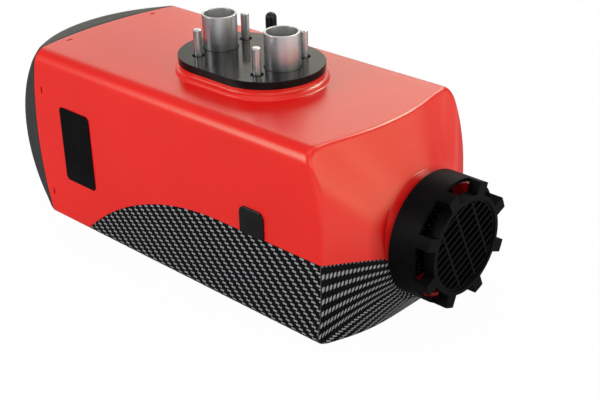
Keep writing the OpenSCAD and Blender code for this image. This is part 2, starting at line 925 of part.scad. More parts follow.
// A strip bent over the sensor with its ends gripping the pad
module sensor_clip() {
    leg_y = sensor_pad.y / 2;
    top_z = sensor_pad_top + sensor_size.z;
    color("#b9bcbe") along_x(sensor_x - clip_w / 2, sensor_x + clip_w / 2) {
        translate([-leg_y - clip_t, top_z]) square([2 * (leg_y + clip_t), clip_t]);
        for (side = [-1, 1]) translate([side * (leg_y + clip_t / 2) - clip_t / 2, sensor_pad_top - clip_w])
            square([clip_t, top_z - sensor_pad_top + clip_w + clip_t]);
    }
}

module blower_housing() {
    color("#a3a6a8") difference() {
        union() {
            along_x(blower_back, blower_plate_x) lugged_disc(blower_r, false);
            for (side = [-1, 1])
                translate([blower_back - arm_l - unit_clear, side * arm_y - arm_w / 2, unit_z - arm_t])
                    cube([arm_l + unit_clear + blower_l / 2, arm_w, arm_t]);
        }
        ring(blower_plate_x - cavity_l, blower_plate_x + over, cavity_r);
        ring(blower_back - over, blower_plate_x, bearing_r / 2);
        lug_holes(blower_back - over, blower_plate_x + over, screw_d / 2);
        for (side = [-1, 1])
            post(arm_screw_x, side * arm_y, unit_z - arm_t - over, unit_z + over, unit_screw_d / 2);
    }
}

module blower_plate() {
    channel_r = (wheel_r + wheel_inner) / 2;
    mid_x = blower_plate_x + plate_l / 2;
    color("#a3a6a8") difference() {
        along_x(blower_plate_x, blower_front) lugged_disc(blower_r, true);
        about_axis() translate([wheel_inner, blower_plate_x - over])
            square([wheel_r - wheel_inner, channel_depth + over]);
        bar(mid_x, blower_front + over, 0, duct_z, duct_r);
        post(mid_x, 0, axis_h + channel_r, duct_z, plate_l / 4);
        bar(blower_plate_x, blower_front + over, channel_r * cos(feed_turn),
            axis_h - channel_r * sin(feed_turn), duct_r);
        lug_holes(blower_plate_x - over, blower_front + over, screw_d / 2);
    }
}

module blower_gasket() {
    color("#4a4a48") difference() {
        along_x(blower_front, blower_front + gasket_t) lugged_disc(blower_r, true);
        ring(blower_front - over, blower_front + gasket_t + over, cavity_r);
        bar(blower_front - over, blower_front + gasket_t + over, 0, duct_z, duct_r);
        lug_holes(blower_front - over, blower_front + gasket_t + over, screw_d / 2);
    }
}

module blower_screws() {
    color("#c2c4c6") {
        lug_holes(blower_back, burner_x + end_flange_t, screw_d / 2);
        lug_holes(blower_back - screw_d, blower_back, screw_d * screw_head_share);
    }
}

module motor_can() {
    color("#8a8d90") difference() {
        ring(motor_back + bearing_l, blower_back, motor_r);
        ring(motor_back, blower_back - bearing_l, motor_r - can_wall);
        ring(blower_back - bearing_l - over, blower_back + over, bearing_r);
    }
}

module motor_magnets() {
    outer = motor_r - can_wall;
    color("#3a3b3d") difference() {
        ring(armature_x, armature_x + armature_l, outer, outer - magnet_t);
        translate([armature_x - over, -magnet_t / 2, 0]) cube([armature_l + 2 * over, magnet_t, body_h]);
    }
}

module motor_end_cap() {
    color("#1e1e1e") difference() {
        union() {
            ring(motor_back, motor_back + bearing_l, motor_r);
            ring(motor_back + bearing_l, motor_back + 2 * bearing_l, motor_r - can_wall - push_gap,
                motor_r - 2 * can_wall - push_gap);
        }
        ring(motor_back - over, motor_back + bearing_l + over, bearing_r);
    }
}

module motor_bearings() {
    color("#c8cacc") for (x = [motor_back, blower_back - bearing_l])
        ring(x, x + bearing_l, bearing_r, shaft_r + shaft_gap);
}

module brush_pair() {
    color("#2a2a2a") for (side = [-1, 1])
        translate([armature_x - armature_gap - commutator_l / 2 - brush_w / 2,
                   side > 0 ? commutator_r + shaft_gap : -brush_out,
                   axis_h - brush_w / 2])
            cube([brush_w, brush_out - commutator_r - shaft_gap, brush_w]);
}

module control_unit() {
    socket_y = unit_w / 2 - over;
    rib_count = floor((unit_w - 2 * unit_rib_pitch) / unit_rib_pitch);
    color("#2b2d2f") difference() {
        union() {
            translate([unit_x + unit_l / 2, 0, unit_z]) linear_extrude(unit_h)
                rounded_plate(unit_l, unit_w, unit_round);
            translate([unit_x + unit_l / 2 - socket_size.x / 2, socket_y, unit_z + socket_size.z / 2])
                cube([socket_size.x, socket_size.y, socket_size.z]);
        }
        for (i = [0:rib_count])
            translate([unit_x + unit_rib_pitch, (i - rib_count / 2) * unit_rib_pitch - unit_rib / 2,
                       unit_z + unit_h - unit_rib])
                cube([unit_l - 2 * unit_rib_pitch, unit_rib, unit_rib + over]);
        translate([unit_x + unit_l / 2 - socket_size.x / 2 + socket_wall, socket_y + socket_size.y / 2,
                   unit_z + socket_size.z / 2 + socket_wall])
            cube([socket_size.x - 2 * socket_wall, socket_size.y, socket_size.z - 2 * socket_wall]);
        for (side = [-1, 1])
            post(arm_screw_x, side * arm_y, unit_z - over, unit_z + unit_h / 4, unit_screw_d / 2);
    }
}

module control_unit_screws() {
    color("#c2c4c6") for (side = [-1, 1]) {
        post(arm_screw_x, side * arm_y, unit_z - arm_t, unit_z + unit_h / 4, unit_screw_d / 2);
        post(arm_screw_x, side * arm_y, unit_z - arm_t - unit_screw_d / 2, unit_z - arm_t, unit_screw_d);
    }
}

module motor_shaft() {
    color("#d0d2d4") ring(fan_back - fan_l / 2, blower_plate_x - wheel_gap, shaft_r);
}

module armature() {
    armature_r = motor_r - can_wall - magnet_t - armature_gap;
    color("#9b5b32") difference() {
        union() {
            ring(armature_x, armature_x + armature_l, armature_r);
            ring(armature_x - armature_gap - commutator_l, armature_x, commutator_r);
        }
        ring(armature_x - armature_l, armature_x + 2 * armature_l, shaft_r);
        for (i = [0:armature_slots - 1]) translate([0, 0, axis_h]) rotate([i * 360 / armature_slots, 0, 0])
            translate([armature_x - over, -armature_slot_w / 2, armature_r / 2])
                cube([armature_l + 2 * over, armature_slot_w, armature_r]);
    }
}

// One cambered blade, standing along Z from the hub to the tip
module fan_blade() {
    root = fan_hub_r * blade_root_share;
    translate([fan_back - fan_l / 2, 0, root]) linear_extrude(fan_r) rotate(blade_pitch_turn)
        translate([0, -blade_camber_r]) intersection() {
            difference() {
                circle(blade_camber_r);
                circle(blade_camber_r - blade_t);
            }
            translate([-blade_chord / 2, 0]) square([blade_chord, blade_camber_r * 2]);
        }
}

module air_fan() {
    color("#202020") difference() {
        union() {
            about_axis() polygon([[0, fan_front], [fan_hub_r * fan_nose_share, fan_front],
                [fan_hub_r, fan_front + fan_l / 3], [fan_hub_r, fan_back], [0, fan_back]]);
            intersection() {
                for (i = [0:blade_count - 1])
                    translate([0, 0, axis_h]) rotate([i * 360 / blade_count, 0, 0]) fan_blade();
                ring(fan_front, fan_back, fan_r);
            }
        }
        ring(fan_back - fan_l / 2, fan_back + over, shaft_r);
        ring(fan_back - magnet_disc_t, fan_back + over, magnet_disc_r);
    }
}

module fan_magnet() {
    color("#4c4e50") ring(fan_back - magnet_disc_t, fan_back, magnet_disc_r, shaft_r);
}

module combustion_wheel() {
    wheel_x = blower_plate_x - wheel_gap - wheel_l;
    color("#b0b2b4") difference() {
        union() {
            ring(wheel_x, wheel_x + wheel_disc_t, wheel_r);
            ring(wheel_x, wheel_x + wheel_l, wheel_hub_r);
            intersection() {
                for (i = [0:vane_count - 1])
                    translate([0, 0, axis_h]) rotate([i * 360 / vane_count, 0, 0])
                        translate([wheel_x, -vane_t / 2, wheel_inner]) cube([wheel_l, vane_t, wheel_r]);
                ring(wheel_x, wheel_x + wheel_l, wheel_r);
            }
        }
        ring(wheel_x - over, wheel_x + wheel_l + over, shaft_r);
    }
}

// Front drawing of the hood: a round with notches that leave the teeth
module toothed_ring() {
    difference() {
        circle(hood_r);
        difference() {
            circle(hood_d);
            circle(louvre_r);
            for (i = [0:tooth_count - 1]) rotate((i + 1 / 2) * 360 / tooth_count)
                translate([0, -tooth_w / 2]) square([hood_d, tooth_w]);
        }
    }
}

module outlet_hood() {
    color("#222222") {
        difference() {
            union() {
                ring(hood_back, skirt_front, hood_r);
                along_x(skirt_front - over, hood_front) translate([0, axis_h]) toothed_ring();
            }
            ring(hood_back - over, hood_seat, hood_bore);
            ring(hood_back, hood_front + over, louvre_r - louvre_rim);
        }
        ring(bead_x - bead_w / 2, bead_x + bead_w / 2, hood_bore + push_gap, hood_bore - bead_h);
    }
}

module outlet_louvre() {
    disc_r = louvre_r - louvre_rim;
    slat_n = floor(disc_r / slat_pitch);
    color("#222222") along_x(hood_front - louvre_t, hood_front - slat_t / 2)
        translate([0, axis_h]) rotate(slat_turn) {
            difference() {
                circle(disc_r);
                circle(disc_r - slat_t);
            }
            intersection() {
                circle(disc_r - slat_t / 2);
                union() {
                    for (i = [-slat_n:slat_n]) translate([-disc_r, i * slat_pitch - slat_t / 2])
                        square([2 * disc_r, slat_t]);
                    for (i = [-1:1]) translate([i * bar_pitch - slat_t / 2, -disc_r])
                        square([slat_t, 2 * disc_r]);
                }
            }
        }
}

main_casing();
lower_casing();
intake_cap();
intake_grille();
flange_plate();
flange_studs();
combustion_air_pipe();
exhaust_pipe();
fuel_pipe();
rating_plate();
harness_plug();
harness_grommet();
heat_exchanger();
flame_tube();
burner_head();
evaporator();
glow_pin();
glow_pin_seal();
overheat_sensor();
sensor_clip();
blower_housing();
blower_plate();
blower_gasket();
blower_screws();
motor_can();
motor_magnets();
motor_end_cap();
motor_bearings();
brush_pair();
control_unit();
control_unit_screws();
motor_shaft();
armature();
air_fan();
fan_magnet();
combustion_wheel();
outlet_hood();
outlet_louvre();
fuel_pipe_cap();
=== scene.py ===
import json
import bmesh
import bpy
import numpy as np
from math import cos, pi, radians, sin
from mathutils import Matrix

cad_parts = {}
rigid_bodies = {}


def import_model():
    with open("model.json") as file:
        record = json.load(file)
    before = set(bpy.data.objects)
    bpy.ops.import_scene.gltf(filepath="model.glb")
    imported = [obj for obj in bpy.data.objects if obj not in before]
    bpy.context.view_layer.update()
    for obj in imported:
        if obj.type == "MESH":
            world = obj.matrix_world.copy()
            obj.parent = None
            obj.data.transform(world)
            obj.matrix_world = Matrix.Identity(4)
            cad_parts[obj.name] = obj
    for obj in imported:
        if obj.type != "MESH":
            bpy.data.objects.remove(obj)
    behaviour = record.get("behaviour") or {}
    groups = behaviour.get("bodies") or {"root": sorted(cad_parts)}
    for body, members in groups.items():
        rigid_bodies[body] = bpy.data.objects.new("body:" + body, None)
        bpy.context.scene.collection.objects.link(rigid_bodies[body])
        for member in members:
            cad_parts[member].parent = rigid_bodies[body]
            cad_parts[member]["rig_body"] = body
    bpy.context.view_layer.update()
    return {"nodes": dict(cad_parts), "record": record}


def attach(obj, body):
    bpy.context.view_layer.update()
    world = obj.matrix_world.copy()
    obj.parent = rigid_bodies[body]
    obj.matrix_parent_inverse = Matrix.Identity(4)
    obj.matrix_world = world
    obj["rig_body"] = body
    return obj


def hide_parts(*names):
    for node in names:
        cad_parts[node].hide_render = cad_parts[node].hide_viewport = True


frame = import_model()
scene = bpy.context.scene
metre = 0.001  # sizes below are in millimetres
print("frame loaded")


# Camera, first, because everything is judged from it
def aimCamera():
    look = dict(place=(0.56854, -0.53586, 0.43017), azimuth=43.96, elevation=27.06, roll=-1.4,
                lens=71.35, sensor=36)
    # the three rows are right, up and back, turned by the roll about the line of sight
    a, e, r = (radians(look[k]) for k in ("azimuth", "elevation", "roll"))
    back = np.array([sin(a) * cos(e), -cos(a) * cos(e), sin(e)])
    right = np.array([cos(a), sin(a), 0])
    up = np.cross(back, right)
    turned = np.array([cos(r) * right + sin(r) * up, -sin(r) * right + cos(r) * up, back])
    lens = bpy.data.cameras.new("camera")
    lens.lens, lens.sensor_width, lens.sensor_fit = look["lens"], look["sensor"], "HORIZONTAL"
    camera = bpy.data.objects.new("camera", lens)
    scene.collection.objects.link(camera)
    matrix = np.eye(4)
    matrix[:3, :3], matrix[:3, 3] = turned.T, look["place"]
    camera.matrix_world = Matrix(matrix.tolist())
    scene.camera = camera


aimCamera()
print("camera set")


# Material helpers
def tint(red, green, blue):
    # a display colour from 0 to 255 as the shader's linear colour, by the display's own curve
    c = np.array([red, green, blue]) / 255
    linear = np.where(c <= 0.04045, c / 12.92, ((c + 0.055) / 1.055) ** 2.4)
    return (*linear.tolist(), 1)


class Finish:
    # a material with its shader, and short calls for the nodes that feed it
    def __init__(self, name, **sockets):
        self.material = bpy.data.materials.new(name)
        self.material.use_nodes = True
        self.tree = self.material.node_tree
        self.shader = self.tree.nodes["Principled BSDF"]
        for key, value in sockets.items():
            self.shader.inputs[key.replace("_", " ")].default_value = value

    def node(self, kind, **settings):
        made = self.tree.nodes.new(kind)
        for key, value in settings.items():
            setattr(made, key, value)
        return made

    def link(self, source, target):
        self.tree.links.new(source, target)

    def place(self, scale=(1, 1, 1), uv=None):
        # the object's own coordinates in metres, or the piece's map
        coords = self.node("ShaderNodeUVMap", uv_map=uv) if uv else self.node("ShaderNodeTexCoord")
        mapping = self.node("ShaderNodeMapping")
        mapping.inputs["Scale"].default_value = scale
        self.link(coords.outputs["UV" if uv else "Object"], mapping.inputs["Vector"])
        return mapping.outputs["Vector"]

    def noise(self, scale, detail=3, vector=None):
        made = self.node("ShaderNodeTexNoise")
        made.inputs["Scale"].default_value = scale
        made.inputs["Detail"].default_value = detail
        self.link(vector or self.place(), made.inputs["Vector"])
        return made.outputs["Fac"]

    def spread(self, value, low, high, start=0.0, end=1.0):
        # value from start..end is laid out as low..high
        made = self.node("ShaderNodeMapRange")
        for key, number in zip(("From Min", "From Max", "To Min", "To Max"), (start, end, low, high)):
            made.inputs[key].default_value = number
        self.link(value, made.inputs["Value"])
        return made.outputs["Result"]

    def sums(self, operation, first, second=None, third=None):
        made = self.node("ShaderNodeMath", operation=operation)
        for spot, value in zip(made.inputs, (first, second, third)):
            if isinstance(value, (int, float)):
                spot.default_value = value
            elif value is not None:
                self.link(value, spot)
        return made.outputs[0]

    def blendColours(self, factor, first, second):
        # sockets 6 and 7 are the mix node's two colours, and its output 2 is the blend
        made = self.node("ShaderNodeMix", data_type="RGBA")
        self.link(factor, made.inputs["Factor"])
        for spot, value in ((made.inputs[6], first), (made.inputs[7], second)):
            if isinstance(value, tuple):
                spot.default_value = value
            else:
                self.link(value, spot)
        return made.outputs[2]

    def patches(self, first, second, scale, detail=3, start=0.35, end=0.7):
        # two tones in soft patches
        return self.blendColours(self.spread(self.noise(scale, detail), 0, 1, start, end), first, second)

    def axisOf(self, vector, axis):
        split = self.node("ShaderNodeSeparateXYZ")
        self.link(vector, split.inputs[0])
        return split.outputs[axis]

    def colour(self, socket):
        self.link(socket, self.shader.inputs["Base Color"])

    def roughness(self, socket):
        self.link(socket, self.shader.inputs["Roughness"])

    def gloss(self, low, high, scale, detail=2, start=0.3):
        # the roughness wanders from low to high
        self.roughness(self.spread(self.noise(scale, detail), low, high, start, 0.7))

    def bump(self, height, distance):
        made = self.node("ShaderNodeBump")
        made.inputs["Distance"].default_value = distance
        self.link(height, made.inputs["Height"])
        self.link(made.outputs["Normal"], self.shader.inputs["Normal"])


def redCasing():
    look = dict(colour=tint(228, 16, 16), deep=tint(219, 10, 12), patch=9, specular=(0.4, 1.0, 0.74, 1),
                low=0.28, high=0.32, uneven=420, peel=900, peelDepth=0.00001, level=0.68, grooveShadeShine=0.05,
                # groove is the colour of the painted shade in the gap behind the outlet hood
                groove=tint(160, 8, 10), grooveStart=(0.155, 0.1635), grooveEnd=(0.166, 0.17))
    f = Finish("red_moulding", Specular_Tint=look["specular"])
    mottled = f.patches(look["colour"], look["deep"], look["patch"])
    # painted shade: the colour deepens and the shine fades in the narrow groove behind the outlet hood,
    # standing in for the hood's shadow there
    x = f.axisOf(f.place(), 0)
    paintedGrooveShade = f.sums("MULTIPLY", f.spread(x, 0, 1, *look["grooveStart"]),
                      f.spread(x, 1, 0, *look["grooveEnd"]))
    f.colour(f.blendColours(paintedGrooveShade, mottled, look["groove"]))
    f.link(f.spread(paintedGrooveShade, look["level"], look["grooveShadeShine"]), f.shader.inputs["Specular IOR Level"])
    f.gloss(look["low"], look["high"], look["uneven"])
    f.bump(f.noise(look["peel"], 2), look["peelDepth"])
    return f.material


def moulding(name, **look):
    # moulded plastic: two tones, and a fine grain in bump and gloss
    f = Finish(name, IOR=look["gloss"])
    f.colour(f.patches(look["colour"], look["worn"], look["patch"], start=0.3))
    f.gloss(look["low"], look["high"], look["uneven"])
    f.bump(f.noise(look["grain"]), look["depth"])
    return f.material


def glossPlate():
    # black enamel over a flat plate: soft cloudy marks in its colour and its gloss
    look = dict(colour=tint(10, 11, 12), cloud=tint(24, 26, 28), patch=45, gloss=1.22, low=0.08, high=0.26,
                uneven=70, wave=250, waveDepth=0.00003)
    f = Finish("black_enamel", IOR=look["gloss"])
    f.colour(f.patches(look["colour"], look["cloud"], look["patch"], 5, end=0.75))
    f.gloss(look["low"], look["high"], look["uneven"], 4, start=0.35)
    f.bump(f.noise(look["wave"], 2), look["waveDepth"])
    return f.material


def metal(name, shade, low, high, streak=(1, 1, 1), scale=300, depth=0.00002, mottle=0.92):
    # bare metal: streaks or grain drive both the gloss and a shallow bump
    f = Finish(name, Metallic=1.0)
    grain = f.noise(scale, vector=f.place(scale=streak))
    dull = tuple(v * mottle for v in tint(*shade)[:3]) + (1,)
    f.colour(f.patches(tint(*shade), dull, 40, 4, end=0.65))
    f.roughness(f.spread(grain, low, high, 0.3, 0.7))
    f.bump(grain, depth)
    return f.material


def plain(name, shade, dark, low, high, scale, depth, gloss=1.45):
    # cast, fired, sintered or rubbery stuff: two tones, uneven gloss and a grain
    f = Finish(name, IOR=gloss)
    f.colour(f.patches(tint(*shade), tint(*dark), scale / 8, 4, end=0.65))
    f.gloss(low, high, scale, 3)
    f.bump(f.noise(scale), depth)
    return f.material


def carbonLook():
    # A printed weave on the piece's own map, in tows. Each tow runs over two and under two, one step
    # further on in each row, so a float shows as a dash and the dashes line up on slanting rows. The dashes'
    # brightness is a painted sheen on the floats of one direction, and the other direction's grey a dimmer
    # painted sheen.
    look = dict(tow=2.3, dark=tint(8, 8, 9), grey=tint(16, 16, 18), dash=tint(144, 146, 150),
                dashFrom=0.34, dashTo=0.86, endFade=0.35, sideFade=0.6, threads=2600, threadLow=0.72,
                gloss=1.16, low=0.18, high=0.3, uneven=300, depth=0.00006)
    f = Finish("carbon_print", IOR=look["gloss"])
    flat = f.place(scale=(1 / (look["tow"] * metre),) * 2 + (1,), uv="cover")
    u, v = f.axisOf(flat, 0), f.axisOf(flat, 1)

    def floats(along, across, start):
        # where a float lies, drawn as painted sheen: its middle is 1 and its ends and sides fade to 0
        row = f.sums("ADD", along, f.sums("FLOOR", across))
        step = f.sums("FLOORED_MODULO", f.sums("ADD", row, start), 4)
        length = f.sums("SUBTRACT", 1, f.sums("ABSOLUTE", f.sums("SUBTRACT", step, 1)))
        fromMiddle = f.sums("ABSOLUTE", f.sums("MULTIPLY_ADD", f.sums("FRACT", across), 2, -1))
        width = f.sums("SUBTRACT", 1, fromMiddle)
        return f.sums("MULTIPLY", f.spread(length, 0, 1, 0.0, look["endFade"]),
                      f.spread(width, 0, 1, 0.0, look["sideFade"]))

    light, low = floats(u, v, 0), floats(v, u, 2)
    threads = f.spread(f.noise(look["threads"], 2), look["threadLow"], 1.0, 0.3, 0.7)
    shine = f.spread(f.sums("MULTIPLY", light, threads), 0, 1, look["dashFrom"], look["dashTo"])
    # painted sheen: bright dashes on one direction's floats, grey on the other direction's, dark between
    f.colour(f.blendColours(shine, f.blendColours(low, look["dark"], look["grey"]), look["dash"]))
    f.gloss(look["low"], look["high"], look["uneven"])
    f.bump(f.sums("ADD", light, low), look["depth"])
    return f.material


def seenBy(tree, levels):
    # a level for each kind of ray: to the camera, in reflections and through glass, and the rest in lighting
    path = tree.nodes.new("ShaderNodeLightPath")
    total = None
    for ray, level in zip(("Is Camera Ray", "Is Glossy Ray", "Is Transmission Ray"), levels[:3]):
        add = tree.nodes.new("ShaderNodeMath")
        add.operation = "MULTIPLY_ADD"
        tree.links.new(path.outputs[ray], add.inputs[0])
        add.inputs[1].default_value = level - levels[3]
        add.inputs[2].default_value = levels[3]
        if total:
            tree.links.new(total, add.inputs[2])
        total = add.outputs[0]
    return total


def backing(look):
    # floor: takes the object's shadow, and still shows as white to the camera; in reflections it is pale
    # beside the outlet and dim elsewhere
    f = Finish("pale_floor", Roughness=0.9)
    camera, dim, through, lighting = look["floorLevels"]
    f.colour(f.patches(tint(246, 246, 246), tint(244, 244, 244), 3, start=0.3))
    mirrored = f.spread(f.axisOf(f.place(), 0), dim, look["paleLevel"], look["paleFrom"], look["paleTo"])
    glow = f.node("ShaderNodeEmission")
    path = f.node("ShaderNodeLightPath")
    strength = f.sums("MULTIPLY_ADD", path.outputs["Is Glossy Ray"], f.sums("SUBTRACT", mirrored, 1), 1)
    f.link(strength, glow.inputs["Strength"])
    mixer = f.node("ShaderNodeMixShader")
    f.link(seenBy(f.tree, (camera, 1.0, through, lighting)), mixer.inputs[0])
    f.link(f.shader.outputs[0], mixer.inputs[1])
    f.link(glow.outputs[0], mixer.inputs[2])
    f.link(mixer.outputs[0], f.tree.nodes["Material Output"].inputs["Surface"])
    return f.material


finishes = dict(
    red_casing=redCasing(),
    carbon_look=carbonLook(),
    dark_cap=moulding("dark_cap", colour=tint(52, 54, 54), worn=tint(60, 62, 62), patch=30, gloss=1.25,
                      low=0.34, high=0.46, uneven=600, grain=1400, depth=0.00002),
    black_plastic=moulding("black_moulding", colour=tint(6, 6, 7), worn=tint(11, 11, 12), patch=60,
                           gloss=1.12, low=0.42, high=0.54, uneven=800, grain=1600, depth=0.00002),
    black_plate=glossPlate(),
    pipe_metal=metal("pipe_aluminium", (198, 199, 201), 0.32, 0.44, (1, 1, 14), scale=120, mottle=0.97),
    cast_metal=metal("cast_aluminium", (150, 152, 154), 0.45, 0.7, scale=500, depth=0.00006),
    steel=metal("zinc_steel", (206, 208, 210), 0.26, 0.36, scale=400, depth=0.000005),
    heat_steel=metal("heat_tinted_steel", (140, 118, 98), 0.35, 0.6, scale=200, mottle=0.6),
    ceramic=plain("fired_ceramic", (222, 216, 200), (200, 192, 174), 0.35, 0.55, 400, 0.00002),
    black_rubber=plain("black_rubber", (12, 12, 13), (19, 19, 20), 0.2, 0.3, 700, 0.00001, 1.4),
    gasket_sheet=plain("fibre_sheet", (92, 92, 88), (70, 70, 66), 0.7, 0.9, 600, 0.00005),
    magnet=plain("sintered_magnet", (58, 58, 60), (44, 44, 46), 0.5, 0.7, 900, 0.00003),
    copper=metal("enamelled_copper", (178, 104, 66), 0.3, 0.45, (30, 1, 1), scale=60),
    label_black=plain("label_foil", (12, 12, 14), (17, 17, 19), 0.26, 0.34, 500, 0.000008, 1.12),
    board_case=plain("unit_case", (48, 50, 52), (40, 42, 44), 0.4, 0.55, 700, 0.00003),
)
slotOf = {p["node"]: p["material_slot"] for p in frame["record"]["subparts"]}
for name, carried in frame["nodes"].items():
    carried.data.materials.clear()
    carried.data.materials.append(finishes[slotOf[name]])
print("finishes made and laid on the carried nodes")


# Mesh helpers
def gridQuads(rows, columns, start=0, closeRows=False, closeColumns=False):
    # quads between neighbouring grid points, with the first row or column joined to the last where closed
    index = start + np.arange(rows * columns).reshape(rows, columns)
    if closeRows:
        index = np.vstack([index, index[:1]])
    if closeColumns:
        index = np.hstack([index, index[:, :1]])
    return np.stack([index[:-1, :-1], index[1:, :-1], index[1:, 1:], index[:-1, 1:]], -1).reshape(-1, 4)


def rowsAt(x, y, z):
    # points from three arrays that spread to one shape
    return np.stack(np.broadcast_arrays(x, y, z), -1)


def tidyFaces(points, faces):
    # points that coincide become one, and faces that shrink to a line are dropped
    _, first, which = np.unique(np.round(points, 3), axis=0, return_index=True, return_inverse=True)
    faces = which.reshape(-1)[faces]
    repeats = faces == np.roll(faces, 1, 1)
    quads = faces[repeats.sum(1) == 0]
    thin = faces[repeats.sum(1) == 1]
    thinRepeats = thin == np.roll(thin, 1, 1)
    triangles = thin[~thinRepeats].reshape(-1, 3)
    return first, quads, triangles


def shell(points, inward, depth, faces):
    # closed wall: the outer sheet, the same sheet moved inward by depth, and a rim along each open edge
    first, quads, triangles = tidyFaces(points, faces)
    outer, inner = points[first], (points + inward * depth)[first]
    count = len(outer)
    sides = np.concatenate([np.stack([quads, np.roll(quads, -1, 1)], -1).reshape(-1, 2),
                            np.stack([triangles, np.roll(triangles, -1, 1)], -1).reshape(-1, 2)])
    code, back = sides[:, 0] * count + sides[:, 1], sides[:, 1] * count + sides[:, 0]
    rim = sides[~np.isin(code, back)]
    walls = np.stack([rim[:, 1], rim[:, 0], rim[:, 0] + count, rim[:, 1] + count], -1)
    allQuads = np.concatenate([quads, quads[:, ::-1] + count, walls])
    allTriangles = np.concatenate([triangles, triangles[:, ::-1] + count])
    return np.concatenate([outer, inner]), allQuads, allTriangles, first


def joined(parts):
    # several bodies of points, quads and triangles as one list
    points, quads, triangles, start = [], [], [], 0
    for p, q, t in parts:
        points.append(p)
        quads.append(q + start)
        triangles.append(t + start)
        start += len(p)
    return np.concatenate(points), np.concatenate(quads), np.concatenate(triangles)


noTriangles = np.zeros((0, 3), int)


def makePiece(name, body, slot, nodes, points, quads, triangles=noTriangles, sharp=38, uv=None):
    mesh = bpy.data.meshes.new(name)
    mesh.from_pydata((points * metre).tolist(), [], quads.tolist() + triangles.tolist())
    if uv is not None:
        layer = mesh.uv_layers.new(name="cover")
        corners = np.zeros(len(mesh.loops), int)
        mesh.loops.foreach_get("vertex_index", corners)
        layer.data.foreach_set("uv", (uv[corners] * metre).ravel())
    mesh.shade_smooth()
    mesh.set_sharp_from_angle(angle=radians(sharp))
    mesh.materials.append(finishes[slot])
    piece = bpy.data.objects.new(name, mesh)
    scene.collection.objects.link(piece)
    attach(piece, body)
    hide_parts(*nodes)


def bezier(a, b, c, k):
    # a curve from a to c drawn towards b: (1-k) squared of a, 2k(1-k) of b and k squared of c
    return (1 - k) ** 2 * a + 2 * k * (1 - k) * b + k ** 2 * c


def rounded(profile, radii, steps=5):
    # each corner of a closed profile becomes a curve that starts and ends its radius away along the sides
    p = np.array(profile, float)
    before, after = np.roll(p, 1, 0) - p, np.roll(p, -1, 0) - p
    r = np.broadcast_to(np.array(radii, float), (len(p),))[:, None]
    start = p + before / np.linalg.norm(before, axis=1)[:, None] * r
    end = p + after / np.linalg.norm(after, axis=1)[:, None] * r
    k = np.linspace(0, 1, steps)[None, :, None]
    return bezier(start[:, None], p[:, None], end[:, None], k).reshape(-1, 2)


def turningSense(profile):
    # the sum of the corners' cross products, positive where a closed profile runs anticlockwise
    following = np.roll(profile, -1, 0)
    return np.sum(profile[:, 0] * following[:, 1] - following[:, 0] * profile[:, 1])


def turned(profile, centre, along, steps=144):
    # a closed profile of radius and length turned about a line along X or Z through the centre
    a = np.linspace(0, 2 * pi, steps, endpoint=False)[:, None]
    r, level = profile[None, :, 0], profile[None, :, 1]
    c, s = np.cos(a) * r, np.sin(a) * r
    points = (rowsAt(level, c, s) if along == "x" else rowsAt(c, s, level)) + np.array(centre)
    quads = gridQuads(steps, len(profile), 0, True, True)
    # the profile's turning sense says which way its faces look
    if (turningSense(profile) > 0) == (along == "x"):
        quads = quads[:, ::-1]
    flat = points.reshape(-1, 3)
    first, quads, triangles = tidyFaces(flat, quads)
    return flat[first], quads, triangles


def stadiumLoft(profile, run, centre, steps=72):
    # a closed profile of radius and height carried round a straight run with half circles at its ends:
    # a point is the run's end plus its radius in the direction of the angle
    a = np.linspace(-pi / 2, pi / 2, steps)
    angle = np.concatenate([a, a + pi])[:, None]
    shift = np.where(np.arange(2 * steps) < steps, run / 2, -run / 2)[:, None]
    r, z = profile[None, :, 0], profile[None, :, 1]
    points = rowsAt(shift + np.cos(angle) * r, np.sin(angle) * r, z)
    quads = gridQuads(2 * steps, len(profile), 0, True, True)
    if turningSense(profile) > 0:
        quads = quads[:, ::-1]
    flat = points.reshape(-1, 3) + np.array(centre)
    first, quads, triangles = tidyFaces(flat, quads)
    return flat[first], quads, triangles


def softCopy(node, slot, width, steps=3):
    # a merged copy of a carried node with its flat faces joined and its edges softened
    look = dict(merge=0.000002, flat=1.0, sharp=30)
    source = frame["nodes"][node]
    mesh = source.data.copy()
    mesh.name = node + "_soft"
    work = bmesh.new()
    work.from_mesh(mesh)
    bmesh.ops.remove_doubles(work, verts=work.verts, dist=look["merge"])
    bmesh.ops.dissolve_limit(work, angle_limit=radians(look["flat"]), verts=work.verts, edges=work.edges)
    work.to_mesh(mesh)
    work.free()
    mesh.materials.clear()
    mesh.materials.append(finishes[slot])
    mesh.shade_smooth()
    mesh.set_sharp_from_angle(angle=radians(look["sharp"]))
    piece = bpy.data.objects.new(node + "_soft", mesh)
    scene.collection.objects.link(piece)
    bevel = piece.modifiers.new("softened", "BEVEL")
    bevel.width, bevel.segments = width * metre, steps
    bevel.limit_method, bevel.angle_limit = "ANGLE", radians(look["sharp"])
    bevel.use_clamp_overlap = True
    bevel.harden_normals = True
    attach(piece, source["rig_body"])
    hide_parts(node)


